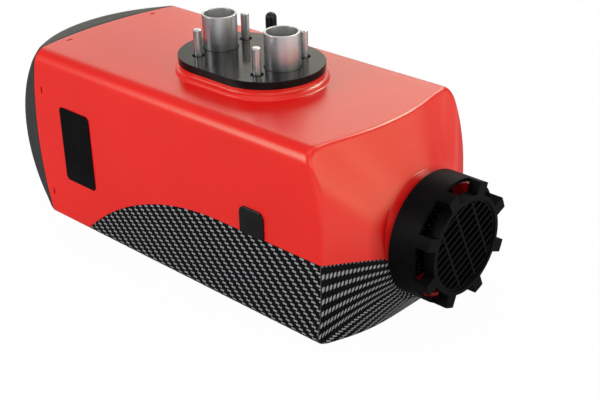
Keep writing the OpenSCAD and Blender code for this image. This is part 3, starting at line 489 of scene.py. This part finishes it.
# The casing's section and ends
casing = dict(halfWidth=72.5, height=135.6, topRound=10.5, footRound=7.0, wall=2.4, axis=66.6,
              seamX=101.43, seamRadius=266.0, seamRound=0.35, gap=0.3,
              splitZ=61.4, splitX=46.7, splitRadius=219.0,
              taperZ=59.0, taperRadius=225.0, curveX=331.673, curveR=187.697, taperEnd=164.4,
              collarRadius=38.8, crease=2.2, cornerCrease=3.0, bulge=1.5,
              # where the grids' rows lie: off a seam, over the band behind it, and from the last whole
              # section, at plainEnd, to the crease
              seamSteps=(0, 0.05, 0.15, 0.35), bandShares=(0.35, 0.7), bridgeShares=(0.25, 0.5, 0.75, 0.93),
              plainEnd=112.0,
              # even rows start this far past the seam's foot, and this row past the crease lies on the taper
              arcRun=5, probeRow=12)
flatEnd = casing["halfWidth"] - casing["topRound"]
cornerEnd = flatEnd + casing["topRound"] * pi / 2
sideEnd = cornerEnd + casing["height"] - casing["topRound"] - casing["footRound"]
footEnd = sideEnd + casing["footRound"] * pi / 2
sectionEnd = footEnd + casing["halfWidth"] - casing["footRound"]
noEdge = 9.0  # a distance past any rim's radius
close = 0.01  # what counts as the same place in a comparison


def sectionWalk(walk):
    # y, z and the outward direction at a distance walked from the middle of the roof, negative on the
    # near side: flat roof, quarter circle, side, quarter circle, flat floor
    c, d, side = casing, np.abs(walk), np.sign(walk)
    top = (d - flatEnd) / c["topRound"]
    foot = (d - sideEnd) / c["footRound"]
    places = [d <= flatEnd, d <= cornerEnd, d <= sideEnd, d <= footEnd]
    y = np.select(places, [d, flatEnd + c["topRound"] * np.sin(top), c["halfWidth"],
                           c["halfWidth"] - c["footRound"] * (1 - np.cos(foot))],
                  c["halfWidth"] - c["footRound"] - (d - footEnd))
    z = np.select(places, [c["height"], c["height"] - c["topRound"] * (1 - np.cos(top)),
                           c["height"] - c["topRound"] - (d - cornerEnd),
                           c["footRound"] * (1 - np.sin(foot))], 0.0)
    ny = np.select(places, [0.0, np.sin(top), 1.0, np.cos(foot)], 0.0)
    nz = np.select(places, [1.0, np.cos(top), 0.0, -np.sin(foot)], -1.0)
    return side * y, z, side * ny, nz


def walkAtHeight(z):
    # the distance walked at which the section comes down to a height
    c = casing
    side = cornerEnd + c["height"] - c["topRound"] - z
    foot = sideEnd + c["footRound"] * np.arcsin(np.clip(1 - z / c["footRound"], 0, 1))
    return np.where(z >= c["footRound"], side, foot)


def splitHeight(x, lift):
    # height of the seam above the lower cover: level, then down a circle to the floor
    c = casing
    fall = np.sqrt(np.clip((c["splitRadius"] + lift) ** 2 - (x - c["splitX"]) ** 2, 0, None))
    arc = c["splitZ"] - c["splitRadius"] + fall
    return np.clip(np.where(x >= c["splitX"], c["splitZ"] + lift, arc), 0, None)


def arcFoot(lift):
    # where that circle meets the floor
    c = casing
    return c["splitX"] - np.sqrt((c["splitRadius"] + lift) ** 2 - (c["splitRadius"] - c["splitZ"]) ** 2)


def aboveSplit(x, z, lift):
    # how far a point lies above that seam, measured square to it
    c = casing
    arc = np.hypot(x - c["splitX"], z - c["splitZ"] + c["splitRadius"]) - c["splitRadius"] - lift
    return np.where(x >= c["splitX"], z - c["splitZ"] - lift, arc)


def seamAt(y, z, shift=0.0):
    # the curved seam is a sphere's near side: its centre less the root of radius squared less y and
    # height squared
    c = casing
    return c["seamX"] + shift - np.sqrt(c["seamRadius"] ** 2 - y ** 2 - (z - c["axis"]) ** 2)


def seamRows(seam, first):
    # x of the rows between the curved seam and the first whole section, close together at the seam
    near = np.array(casing["seamSteps"])[:, None] + 0 * seam[None]
    last = casing["seamSteps"][-1]
    away = last + (first - seam - last)[None] * np.array(casing["bandShares"])[:, None]
    return seam[None] + np.concatenate([near, away])


def bridgeRows(last, edgeX):
    # x of the rows between the last whole section and the crease
    return last + (edgeX - last)[None] * np.array(casing["bridgeShares"])[:, None]


def taperAt(y, z, power):
    # the hollow end: x is the circle's middle less the root of radius squared less the distance out squared,
    # where the distance out is a norm of y and height, rounder near the collar and squarer at the edges
    c = casing
    out = (np.abs(y) ** power + np.abs(z - c["taperZ"]) ** power) ** (1 / power)
    x = c["curveX"] - np.sqrt(c["taperRadius"] ** 2 - (c["curveR"] - out) ** 2)
    return np.minimum(x, c["taperEnd"])


def roundOver(distance, radius):
    # how deep a rounded rim lies under the face at a distance from its edge
    d = np.clip(distance, 0, radius)
    return radius - np.sqrt(radius ** 2 - (radius - d) ** 2)


def shares(count):
    # equal shares of a stretch, without its start
    return np.linspace(0, 1, count + 1)[1:]


def bell(walk, middle, width):
    # 1 at a distance walked on either side, and fading away from it
    return np.exp(-((np.abs(walk) - middle) / width) ** 2)


def endRows(walk, ringRadius, ringAngle, rootFillet):
    # rows of points from the side's front edge over the crease and down the taper to the collar
    c = casing
    look = dict(shoulder=88, shoulderWidth=28, sideFrom=50, sideRun=45, roofPower=2.2, addedPower=1.3,
                swellAt=115, swellWidth=22, filletReach=1.25, tuck=0.3)
    y, z, _, _ = sectionWalk(walk)
    ringY, ringZ = ringRadius * np.sin(ringAngle), c["axis"] + ringRadius * np.cos(ringAngle)
    length = np.hypot(ringY - y, ringZ - z)
    soft = c["crease"] + c["cornerCrease"] * bell(walk, look["shoulder"], look["shoulderWidth"])
    # the form is squarer on the sides than over the roof, and swells a little below the shoulders
    onSide = np.clip((np.abs(walk) - look["sideFrom"]) / look["sideRun"], 0, 1)
    squareness = look["roofPower"] + look["addedPower"] * onSide ** 2 * (3 - 2 * onSide)
    swell = c["bulge"] * bell(walk, look["swellAt"], look["swellWidth"])

    def taper(w):
        power = squareness - (squareness - 2) * w ** 2
        py, pz = y + (ringY - y) * w, z + (ringZ - z) * w
        return np.stack([taperAt(py, pz, power) + swell * np.sin(pi * w), py, pz], -1)

    corner = taper(np.zeros_like(walk))
    edge = corner - np.stack([soft, 0 * soft, 0 * soft], -1)
    after = soft / length
    last = 1 - rootFillet * look["filletReach"] / length
    rows = [edge]
    rows += [bezier(edge, corner, taper(after), k) for k in shares(7)]
    rows += [taper(after + (last - after) * k) for k in shares(17)]
    root = taper(np.ones_like(walk))
    if rootFillet:
        up = root + [rootFillet, 0, 0]
        rows += [bezier(rows[-1], root, up, k) for k in shares(6)]
        inward = np.stack([np.ones_like(walk), -np.sin(ringAngle), -np.cos(ringAngle)], -1)
        rows.append(up + look["tuck"] * inward)
    else:
        rows.append(root)
    return np.stack(rows), edge[:, 0]


def gridNormals(points):
    # outward direction at each grid point from its neighbours along rows and columns
    along, across = np.gradient(points, axis=0), np.gradient(points, axis=1)
    n = np.cross(along, across)
    length = np.linalg.norm(n, axis=-1, keepdims=True)
    return n / np.maximum(length, 1e-9)


def stretch(marks, counts):
    # rising values from mark to mark with a number of steps in each stretch
    pieces = [np.linspace(a, b, n, endpoint=False) for a, b, n in zip(marks[:-1], marks[1:], counts)]
    return np.concatenate(pieces + [[marks[-1]]])


def mainCasing():
    c = casing
    look = dict(windowHalf=2.5, windowRoof=40.6, windowHigh=105.77, windowLow=21.7,
                roofWindow=(-146.1, -144.3), sideWindow=(-143.4, -141.6),
                port=(72.4, 84.4), portZ=(65.4, 77.4), plainStart=-138.0, afterPort=90.0,
                arcSteps=(0.3, 1, 2.5), footBand=1.2, seamStop=0.15, floorColumns=27, fillet=0.4,
                boss=dict(x=8.5, run=32, hole=36.8, roofDepth=3),
                spigot=dict(inner=36.35, outer=38.75, back=158, front=181.5, rounds=[0.1, 0.4, 0.5, 0.1]),
                foot=[(32.5, 134.4), (32.5, 142.2), (38.8, 142.2), (38.8, 138.8), (41.2, 137.6),
                      (42.6, 135.55), (45.0, 135.3), (45.0, 134.4)],
                footRounds=[0.1, 0.2, 0.3, 1.3, 1.1, 1.1, 0.1, 0.1])
    boss, tube, h, roof = look["boss"], look["spigot"], look["windowHalf"], look["windowRoof"]
    lift = c["gap"] / 2
    level = float(walkAtHeight(np.array(c["splitZ"] + lift)))
    squeeze = (level - cornerEnd) / (footEnd - cornerEnd)
    high, low = (float(walkAtHeight(np.array(look[k]))) for k in ("windowHigh", "windowLow"))
    hole = [cornerEnd + (float(walkAtHeight(np.array(z))) - cornerEnd) / squeeze for z in look["portZ"][::-1]]
    half = np.unique(np.round(np.concatenate([
        stretch([0, roof - h, roof + h, flatEnd, cornerEnd, high - h, high + h], [6, 1, 3, 12, 4, 1]),
        stretch([high + h, hole[0], low - h, low + h, sideEnd], [17, 1, 1, 2]),
        stretch([sideEnd, hole[1], footEnd - look["footBand"], footEnd], [3, 6, 5]),
        [footEnd - look["seamStop"]]]), 4))
    whole = np.concatenate([-half[::-1], half[1:]])
    walked = np.abs(whole)
    arcStart = arcFoot(lift)
    stations = np.concatenate([look["roofWindow"], look["sideWindow"],
                               stretch([look["plainStart"], arcStart], [8]),
                               arcStart + np.array(look["arcSteps"]),
                               stretch([arcStart + c["arcRun"], look["port"][0]], [36])[:-1],
                               look["port"], stretch([look["afterPort"], c["plainEnd"]], [5])])
    # below the roof's corner the samples close up to end on the seam
    end = walkAtHeight(splitHeight(stations, lift))[:, None]
    below = cornerEnd + (walked[None] - cornerEnd) * (end - cornerEnd) / (footEnd - cornerEnd)
    walks = np.sign(whole) * np.where(walked[None] <= cornerEnd, walked[None], below)
    y, z, ny, nz = sectionWalk(walks)
    body = rowsAt(stations[:, None], y, z)
    start = rowsAt(seamRows(seamAt(y[0], z[0]), stations[0]), y[0], z[0])
    yEnd, zEnd, _, _ = sectionWalk(walks[-1])
    angle = np.arctan2(yEnd, zEnd - c["axis"])
    ringStart = np.arccos(np.clip((c["splitZ"] + lift - c["axis"]) / c["collarRadius"], -1, 1))
    ringAngle = angle * ringStart / np.abs(angle).max()
    ends, edgeX = endRows(walks[-1], c["collarRadius"], ringAngle, look["fillet"])
    middle = rowsAt(bridgeRows(stations[-1], edgeX), yEnd, zEnd)
    sheet = np.concatenate([start, body, middle, ends])
    flatRows = len(start) + len(body) + len(middle)
    normals = gridNormals(sheet)
    straight = np.stack([0 * y, ny, nz], -1)
    normals[:len(start)] = straight[0]
    normals[len(start):len(start) + len(body)] = straight
    normals[len(start) + len(body):flatRows] = straight[-1]
    # the taper's grid runs one way all round, so a point over the roof gives the sign for all
    if np.sum(normals[flatRows + c["probeRow"], len(whole) // 2] * [1, 0, 1]) < 0:
        normals[flatRows:] *= -1
    seamDistance = sheet[..., 0] - seamAt(sheet[..., 1], sheet[..., 2])
    splitDistance = np.where(sheet[..., 0] > arcStart + close,
                             aboveSplit(sheet[..., 0], sheet[..., 2], lift), noEdge)
    depth = roundOver(seamDistance, c["seamRound"]) + roundOver(splitDistance, c["seamRound"])
    sheet = sheet - normals * depth[..., None]
    faces = gridQuads(*sheet.shape[:2]).reshape(sheet.shape[0] - 1, sheet.shape[1] - 1, 4)
    # the roof is open below the boss, up to a stadium's edge that the boss hides
    centres = (sheet[:-1, :-1] + sheet[1:, 1:]) / 2
    reach = np.hypot(np.clip(np.abs(centres[..., 0] - boss["x"]) - boss["run"] / 2, 0, None), centres[..., 1])
    keep = (centres[..., 2] < c["height"] - boss["roofDepth"]) | (reach > boss["hole"])

    def cut(row, a, b):
        # opens the cells past a station whose walk lies from a to b, on both sides
        least, most = np.minimum(walked[:-1], walked[1:]), np.maximum(walked[:-1], walked[1:])
        keep[len(start) + row, (least > a - close) & (most < b + close)] = False

    cut(0, roof - h, roof + h)
    cut(2, high - h, high + h)
    cut(2, low - h, low + h)
    cut(int(np.argmin(np.abs(stations - look["port"][0]))), *hole)
    # floor behind the arc, between the two lowest lines of the sides
    flat = c["halfWidth"] - c["footRound"]
    across = np.linspace(-flat, flat, look["floorColumns"])
    behind = stations[stations <= arcStart + close][:, None] + 0 * across
    floorX = np.concatenate([seamRows(seamAt(across, 0 * across), stations[0]), behind])
    floor = rowsAt(floorX, across, 0.0)
    floor[..., 2] += roundOver(floorX - seamAt(across, 0.0), c["seamRound"])
    points = np.concatenate([sheet.reshape(-1, 3), floor.reshape(-1, 3)])
    up = rowsAt(0 * floorX, 0.0, 1.0)
    inward = np.concatenate([-normals.reshape(-1, 3), up.reshape(-1, 3)])
    floorQuads = gridQuads(*floorX.shape, sheet.size // 3)[:, ::-1]
    p, q, t, _ = shell(points, inward, c["wall"], np.concatenate([faces[keep].reshape(-1, 4), floorQuads]))
    spigot = turned(rounded([(tube["inner"], tube["back"]), (tube["inner"], tube["front"]),
                             (tube["outer"], tube["front"]), (tube["outer"], tube["back"])], tube["rounds"]),
                    (0, 0, c["axis"]), "x", 180)
    foot = stadiumLoft(rounded(look["foot"], look["footRounds"]), boss["run"], (boss["x"], 0, 0))
    body = joined([(p, q, t), spigot, foot])
    makePiece("casing_shell", "heater", "red_casing", ["main_casing"], *body, sharp=50)


def lowerCasing():
    c = casing
    look = dict(seamBand=1.0, arcSteps=(0, 0.1, 0.35, 1, 2.5), ringGap=0.4, rim=0.3, rimFrom=9,
                turnAfter=3, stretch=1.1)
    lift = -c["gap"] / 2
    level = float(walkAtHeight(np.array(c["splitZ"] + lift)))
    half = stretch([level, level + look["seamBand"], sideEnd, footEnd, sectionEnd], [6, 14, 10, 14])
    arcStart = arcFoot(lift)
    stations = np.concatenate([arcStart + np.array(look["arcSteps"]),
                               stretch([arcStart + c["arcRun"], c["plainEnd"]], [46])])
    end = walkAtHeight(splitHeight(stations, lift))[:, None]
    d = np.where(half <= footEnd, footEnd - (footEnd - half) * (footEnd - end) / (footEnd - level), half)
    walks = np.concatenate([-d, d[:, -2::-1]], 1)
    y, z, ny, nz = sectionWalk(walks)
    body = rowsAt(stations[:, None], y, z)
    endWalk = walks[-1]
    yEnd, zEnd, _, _ = sectionWalk(endWalk)
    angle = np.abs(np.arctan2(yEnd, zEnd - c["axis"]))
    ring = c["collarRadius"] + look["ringGap"]
    ringStart = np.arccos((c["splitZ"] + lift - c["axis"]) / ring)
    spread = pi - (pi - angle) * (pi - ringStart) / (pi - angle.min())
    nearSide = np.arange(len(endWalk)) <= len(half) - 1
    ends, edgeX = endRows(endWalk, ring, np.where(nearSide, -spread, spread), 0.0)
    middle = rowsAt(bridgeRows(stations[-1], edgeX), yEnd, zEnd)
    sheet = np.concatenate([body, middle, ends])
    flatRows = len(body) + len(middle)
    normals = gridNormals(sheet)
    # a point below the taper gives the sign for all of it
    if normals[flatRows + c["probeRow"], len(half) - 1, 2] > 0:
        normals[flatRows:] *= -1
    straight = np.stack([0 * y, ny, nz], -1)
    normals[:len(body)] = straight
    normals[len(body):flatRows] = straight[-1]
    splitDistance = -aboveSplit(sheet[..., 0], sheet[..., 2], lift)
    reach = np.hypot(sheet[..., 1], sheet[..., 2] - c["axis"]) - ring
    frontDistance = np.where(np.arange(len(sheet))[:, None] >= flatRows + look["rimFrom"], reach, noEdge)
    depth = roundOver(splitDistance, c["seamRound"]) + roundOver(frontDistance, look["rim"])
    # the print's map: length along the surface, and distance round the section from the floor's middle
    stepLength = np.linalg.norm(np.diff(sheet, axis=0), axis=-1)
    along = np.array(sheet[..., 0])
    along[flatRows:] = along[flatRows - 1] + np.cumsum(stepLength[flatRows - 1:], 0)
    allWalks = np.concatenate([walks, np.broadcast_to(endWalk, (len(sheet) - len(walks), len(endWalk)))])
    height = sectionEnd - np.abs(allWalks)
    cover = np.stack([along, height], -1)
    # past the corner its rows follow the seam instead, as strokes that lean: height less length, and length
    turnRow = flatRows + look["turnAfter"]
    past = (along - along[turnRow]) / look["stretch"]
    cover[turnRow:] = np.stack([height - past, past], -1)[turnRow:]
    sheet = sheet - normals * depth[..., None]
    quads = gridQuads(*sheet.shape[:2])[:, ::-1]
    p, q, t, first = shell(sheet.reshape(-1, 3), -normals.reshape(-1, 3), c["wall"], quads)
    uv = np.tile(cover.reshape(-1, 2)[first], (2, 1))
    makePiece("lower_cover", "heater", "carbon_look", ["lower_casing"], p, q, t, sharp=50, uv=uv)


def intakeCap():
    c = casing
    look = dict(domeX=-74.0, domeRadius=121.0, opening=40.0, rim=0.5, edge=3.6, shift=-0.3,
                margin=0.4, softShare=0.8, bandShares=(0.3, 0.6, 0.85), rimShares=(0.98, 0.993, 1),
                seat=dict(inner=37.8, wall=44.2, outer=46.2, end=-148, rounds=0.3,
                          innerDepth=2.6, outerDepth=2.0, back=4.8))
    half = np.unique(stretch([0, flatEnd, cornerEnd, sideEnd, footEnd, sectionEnd], [12, 14, 24, 10, 13]))
    whole = np.concatenate([-half[::-1], half[1:]])
    y, z, ny, nz = sectionWalk(whole)
    seam = seamAt(y, z, look["shift"])
    angle = np.arctan2(y, z - c["axis"])
    ringY, ringZ = look["opening"] * np.sin(angle), c["axis"] + look["opening"] * np.cos(angle)

    def domed(w):
        # the domed end is a sphere: its centre less the root of radius squared less y and height squared
        py, pz = y + (ringY - y) * w, z + (ringZ - z) * w
        x = look["domeX"] - np.sqrt(look["domeRadius"] ** 2 - py ** 2 - (pz - c["axis"]) ** 2)
        return np.stack([x, py, pz], -1)

    corner = domed(0 * y)
    # the edge is softened less where the band between the seam and the dome is narrow
    soft = np.minimum(look["edge"], (seam - corner[:, 0] - look["margin"]) * look["softShare"])
    share = soft / np.hypot(ringY - y, ringZ - z)
    edge = corner + np.stack([soft, 0 * soft, 0 * soft], -1)
    last = c["seamSteps"][-1]
    bandX = [seam - s for s in c["seamSteps"]]
    bandX += [seam - last + (edge[:, 0] - seam + last) * s for s in look["bandShares"]]
    rows = [np.stack([x, y, z], -1) for x in bandX] + [edge]
    rows += [bezier(edge, corner, domed(share), k) for k in shares(7)]
    rows += [domed(share + (1 - share) * k) for k in [*shares(14)[:-1], *look["rimShares"]]]
    sheet = np.stack(rows)
    flatRows = len(bandX) + 1
    normals = gridNormals(sheet)
    # a point beside the opening gives the sign for all, and the first and last columns are one line
    if normals[-4, len(whole) // 2, 0] > 0:
        normals *= -1
    normals[:flatRows] = np.stack([0 * y, ny, nz], -1)
    normals[:, -1] = normals[:, 0]
    onBand = np.arange(len(sheet))[:, None] < flatRows
    seamDistance = seamAt(sheet[..., 1], sheet[..., 2], look["shift"]) - sheet[..., 0]
    reach = np.hypot(sheet[..., 1], sheet[..., 2] - c["axis"]) - look["opening"]
    depth = np.where(onBand, roundOver(seamDistance, c["seamRound"]), roundOver(reach, look["rim"]))
    sheet = sheet - normals * depth[..., None]
    # faces look outward when the grid is read the other way round
    quads = gridQuads(*sheet.shape[:2])[:, ::-1]
    p, q, t, _ = shell(sheet.reshape(-1, 3), -normals.reshape(-1, 3), c["wall"], quads)

    def inside(radius, below):
        # a point of the grille's seat at a depth below the dome
        return radius, look["domeX"] - np.sqrt(look["domeRadius"] ** 2 - radius ** 2) + below

    s = look["seat"]
    ledge = [inside(s["inner"], s["innerDepth"]), inside(s["outer"], s["outerDepth"]), (s["outer"], s["end"]),
             (s["wall"], s["end"]), inside(s["wall"], s["back"]), inside(s["inner"], s["back"])]
    seat = turned(rounded(ledge, s["rounds"]), (0, 0, c["axis"]), "x", 144)
    makePiece("cap_shell", "heater", "dark_cap", ["intake_cap"], *joined([(p, q, t), seat]), sharp=50)


mainCasing()
print("casing shell made")
lowerCasing()
print("lower cover made")
intakeCap()
print("intake cap made")


# Pipes, studs and rubber cap on the flange
def pipe(name, node, x):
    look = dict(outer=12.3, inner=10.7, root=12.0, top=172.1, plate=147.6, foot=123.2,
                rounds=[0.1, 0.35, 0.45, 0.15, 0.1, 0.1])
    profile = [(look["inner"], look["foot"]), (look["inner"], look["top"]), (look["outer"], look["top"]),
               (look["outer"], look["plate"]), (look["root"], look["plate"]), (look["root"], look["foot"])]
    body = turned(rounded(profile, look["rounds"]), (x, 0, 0), "z", 128)
    makePiece(name, "heater", "pipe_metal", [node], *body, sharp=60)


def studs():
    # the radius follows a saw of one pitch up the stud, which moves on with the angle and so makes a thread
    look = dict(radius=3.0, root=2.7, foot=120.2, face=147.6, top=166.6, pitch=0.8, groove=0.04, tip=0.9,
                tipTurn=0.96, tipDepth=1.25, below=1.4, rise=0.2, fade=1.2,
                middleX=8.5, apartX=28.6, apartY=22.7)
    steps = 32
    tipStart = look["top"] - look["tip"]
    levels = np.concatenate([[look["foot"]], np.arange(look["face"] - look["below"], tipStart, look["rise"]),
                             look["top"] - look["tip"] * (1 - np.linspace(0, 1, 6))])
    a = np.linspace(0, 2 * pi, steps, endpoint=False)[:, None]
    saw = np.abs(2 * ((levels[None] / look["pitch"] - a / (2 * pi)) % 1) - 1)
    saw = saw * (np.clip((tipStart - levels) / look["fade"], 0, 1) * (levels > look["foot"] + close))
    # the tip follows most of a quarter of an ellipse and ends flat
    tip = np.clip((levels - look["top"] + look["tip"]) / look["tip"], 0, 1)
    radius = look["radius"] - look["tip"] * (1 - np.sqrt(1 - (tip * look["tipTurn"]) ** 2)) * look["tipDepth"]
    radius[0] = look["root"]
    r = radius[None] - look["groove"] * saw
    ring = rowsAt(np.cos(a) * r, np.sin(a) * r, levels)
    column = np.concatenate([ring.reshape(-1, 3), [[0, 0, levels[0]], [0, 0, levels[-1]]]])
    quads = gridQuads(steps, len(levels), 0, True, False)[:, ::-1]
    top, base = len(levels) - 1, np.arange(steps) * len(levels)
    following, pole = np.roll(base, -1), np.full(steps, len(column) - 2)
    caps = np.concatenate([np.stack([following, base, pole], -1),
                           np.stack([base + top, following + top, pole + 1], -1)])
    parts = [(column + np.array([look["middleX"] + sx * look["apartX"], sy * look["apartY"], 0]), quads, caps)
             for sx in (-1, 1) for sy in (-1, 1)]
    makePiece("threaded_studs", "heater", "steel", ["flange_studs"], *joined(parts), sharp=60)


def rubberCap():
    # the radius dips at each of the flutes, a power of a cosine of the angle, and closes over a dome
    look = dict(x=11.0, y=18.0, radius=4.0, bore=2.3, foot=155.9, top=174.9, flutes=8, dip=0.75, plain=2.0,
                ease=0.5, boreTop=4.2, flare=0.2)
    steps = 96
    a = np.linspace(0, 2 * pi, steps, endpoint=False)[:, None]
    k = np.linspace(0, 1, 12)[1:] * pi / 2
    foot, top, plainEnd = look["foot"], look["top"], look["foot"] + look["plain"]
    levels = np.concatenate([[foot, foot + 0.3, plainEnd, plainEnd + look["ease"]],
                             np.linspace(foot + 4, top - look["radius"], 8),
                             top - look["radius"] * (1 - np.sin(k))])
    share = np.concatenate([[0.93, 1, 1, 1], np.ones(8), np.cos(k)])
    fluted = np.clip((levels - foot - look["plain"]) / look["ease"], 0, 1)
    groove = look["dip"] * (0.5 + 0.5 * np.cos(look["flutes"] * a)) ** 6
    r = (look["radius"] - groove * fluted[None]) * share[None]
    boreR = np.array([0.001, look["bore"], look["bore"], look["bore"] + look["flare"]])
    boreLevels = np.array([top - look["boreTop"], top - look["boreTop"], foot + look["flare"], foot])
    inner = rowsAt(np.cos(a) * boreR, np.sin(a) * boreR, boreLevels)
    outer = rowsAt(np.cos(a) * r, np.sin(a) * r, levels)
    grid = np.concatenate([inner, outer], 1)
    flat = grid.reshape(-1, 3) + np.array([look["x"], look["y"], 0])
    first, quads, triangles = tidyFaces(flat, gridQuads(steps, grid.shape[1], 0, True, False)[:, ::-1])
    makePiece("rubber_cap", "fuel_cap", "black_rubber", ["fuel_pipe_cap"],
              flat[first], quads, triangles, sharp=70)


def louvre():
    # slats and bars across a ring, each as long as the ring is wide there: twice the root of the
    # radius squared less its distance from the middle squared
    look = dict(radius=30.5, rim=1.6, lap=0.4, front=194.2, back=191.0, slat=1.45, slatDrop=0.15, pitch=5.2,
                bar=1.6, barPitch=15.5, soft=0.2, rimSoft=0.25, turn=24.0)
    front, back = look["front"], look["back"]
    inner, outer = look["radius"] - look["rim"], look["radius"] + look["lap"]
    rim = rounded([(inner, back), (inner, front), (outer, front), (outer, back)], look["rimSoft"], 4)
    parts = [turned(rim, (0, 0, 0), "x", 144)]
    reach = look["radius"] - look["rim"] / 2
    count = int(reach / look["pitch"])
    rows = [(i * look["pitch"], look["slat"] / 2, 0.0, front - look["slatDrop"])
            for i in range(-count, count + 1)]
    rows += [(i * look["barPitch"], look["bar"] / 2, pi / 2, front) for i in range(-1, 2)]

    def spun(points, turn):
        # turned about the line along X
        c, s = cos(turn), sin(turn)
        x, y, z = points.T
        return np.stack([x, y * c - z * s, y * s + z * c], -1)

    for away, half, turn, face in rows:
        length = np.sqrt(reach ** 2 - (abs(away) + half) ** 2)
        low, high = away - half, away + half
        section = rounded([(low, back), (high, back), (high, face), (low, face)], look["soft"], 3)
        n = len(section)
        a = np.stack([section[:, 1], np.full(n, -length), section[:, 0]], -1)
        corner = np.arange(n)
        sides = np.stack([corner, np.roll(corner, -1), np.roll(corner, -1) + n, corner + n], -1)
        ends = np.stack([np.zeros(n - 2, int), corner[2:], corner[1:-1]], -1)
        box = spun(np.concatenate([a, a * [1, -1, 1]]), turn)
        parts.append((box, sides, np.concatenate([ends, ends[:, ::-1] + n])))
    points, quads, triangles = joined(parts)
    placed = spun(points, radians(look["turn"])) + [0, 0, casing["axis"]]
    makePiece("slatted_louvre", "outlet", "black_plastic", ["outlet_louvre"],
              placed, quads, triangles, sharp=40)


pipe("air_pipe", "combustion_air_pipe", -21.85)
pipe("exhaust_stub", "exhaust_pipe", 38.85)
studs()
rubberCap()
louvre()
print("pipes, studs, rubber cap and louvre made")

softCopy("flange_plate", "black_plate", 0.9, 4)
softCopy("outlet_hood", "black_plastic", 0.45, 3)
softCopy("rating_plate", "label_black", 0.2, 2)
softCopy("harness_plug", "black_rubber", 0.5, 3)
softCopy("harness_grommet", "black_rubber", 0.5, 3)
print("soft-edged copies made")


# Floor, background and lamps
def areaLamp(name, place, aim, width, height, level, colour):
    # a lamp's watts are its face's brightness times pi times its area
    data = bpy.data.lights.new(name, "AREA")
    data.shape, data.size, data.size_y, data.energy = "RECTANGLE", width, height, level * pi * width * height
    data.color = colour
    lamp = bpy.data.objects.new(name, data)
    scene.collection.objects.link(lamp)
    # the lamp's back points away from what it lights
    back = np.array(place) - np.array(aim)
    back = back / np.linalg.norm(back)
    right = np.cross([0, 0, 1], back)
    right = right / np.linalg.norm(right)
    matrix = np.eye(4)
    matrix[:3] = np.stack([right, np.cross(back, right), back, place], -1)
    lamp.matrix_world = Matrix(matrix.tolist())
    return lamp


def studio():
    look = dict(
        # levels to the camera, in reflections, through glass, and in lighting
        floorLevels=(0.97, 0.2, 0.97, 0.0), worldLevels=(1.0, 0.2, 1.0, 0.42),
        # the floor's own level in reflections turns pale between these two places along X
        paleFrom=0.18, paleTo=0.3, paleLevel=1.0,
        floorSide=6.0, floorZ=-0.0002,
        lamps=dict(
            # place, point aimed at, width, height, brightness of its face, colour
            back=((-1.25, 1.25, 0.72), (0, 0, 0.1), 2.4, 1.0, 1.0, (1, 0.96, 0.84)),
            backNear=((-0.8, 1.25, 0.82), (0.1, 0, 0.1), 0.9, 0.8, 0.75, (1, 0.96, 0.84)),
            crest=((0.0, 1.05, 1.15), (0.1, 0, 0.1), 0.6, 0.5, 12.0, (1, 0.97, 0.9)),
            overhead=((0.1, -0.3, 1.7), (0, 0, 0.1), 1.3, 1.3, 0.9, (1, 1, 1)),
            frontLeft=((-0.9, -1.6, 0.9), (-0.05, 0, 0.07), 1.1, 1.0, 5.5, (1, 1, 1)),
            front=((1.3, -1.2, 1.0), (0.12, 0, 0.06), 0.9, 0.9, 2.2, (1, 1, 1)),
            nearRight=((1.8, 0.0, 0.8), (0.1, 0, 0.07), 1.3, 1.2, 0.9, (1, 0.93, 0.76)),
            right=((1.7, 0.75, 0.75), (0.1, 0, 0.07), 3.0, 1.3, 1.3, (1, 0.93, 0.74))))
    mesh = bpy.data.meshes.new("floor")
    side = look["floorSide"]
    corners = [(sx * side, sy * side, look["floorZ"]) for sx, sy in ((-1, -1), (1, -1), (1, 1), (-1, 1))]
    mesh.from_pydata(corners, [], [(0, 1, 2, 3)])
    mesh.materials.append(backing(look))
    floor = bpy.data.objects.new("floor", mesh)
    scene.collection.objects.link(floor)
    world = bpy.data.worlds.new("studio")
    scene.world = world
    world.use_nodes = True
    sky = world.node_tree.nodes["Background"]
    sky.inputs["Color"].default_value = (1, 1, 1, 1)
    world.node_tree.links.new(seenBy(world.node_tree, look["worldLevels"]), sky.inputs["Strength"])
    for name, values in look["lamps"].items():
        # the crest lamp only draws the bright line along the roof's edge
        areaLamp(name, *values).visible_diffuse = name != "crest"


studio()
scene.view_settings.view_transform = "Standard"
print("studio set")
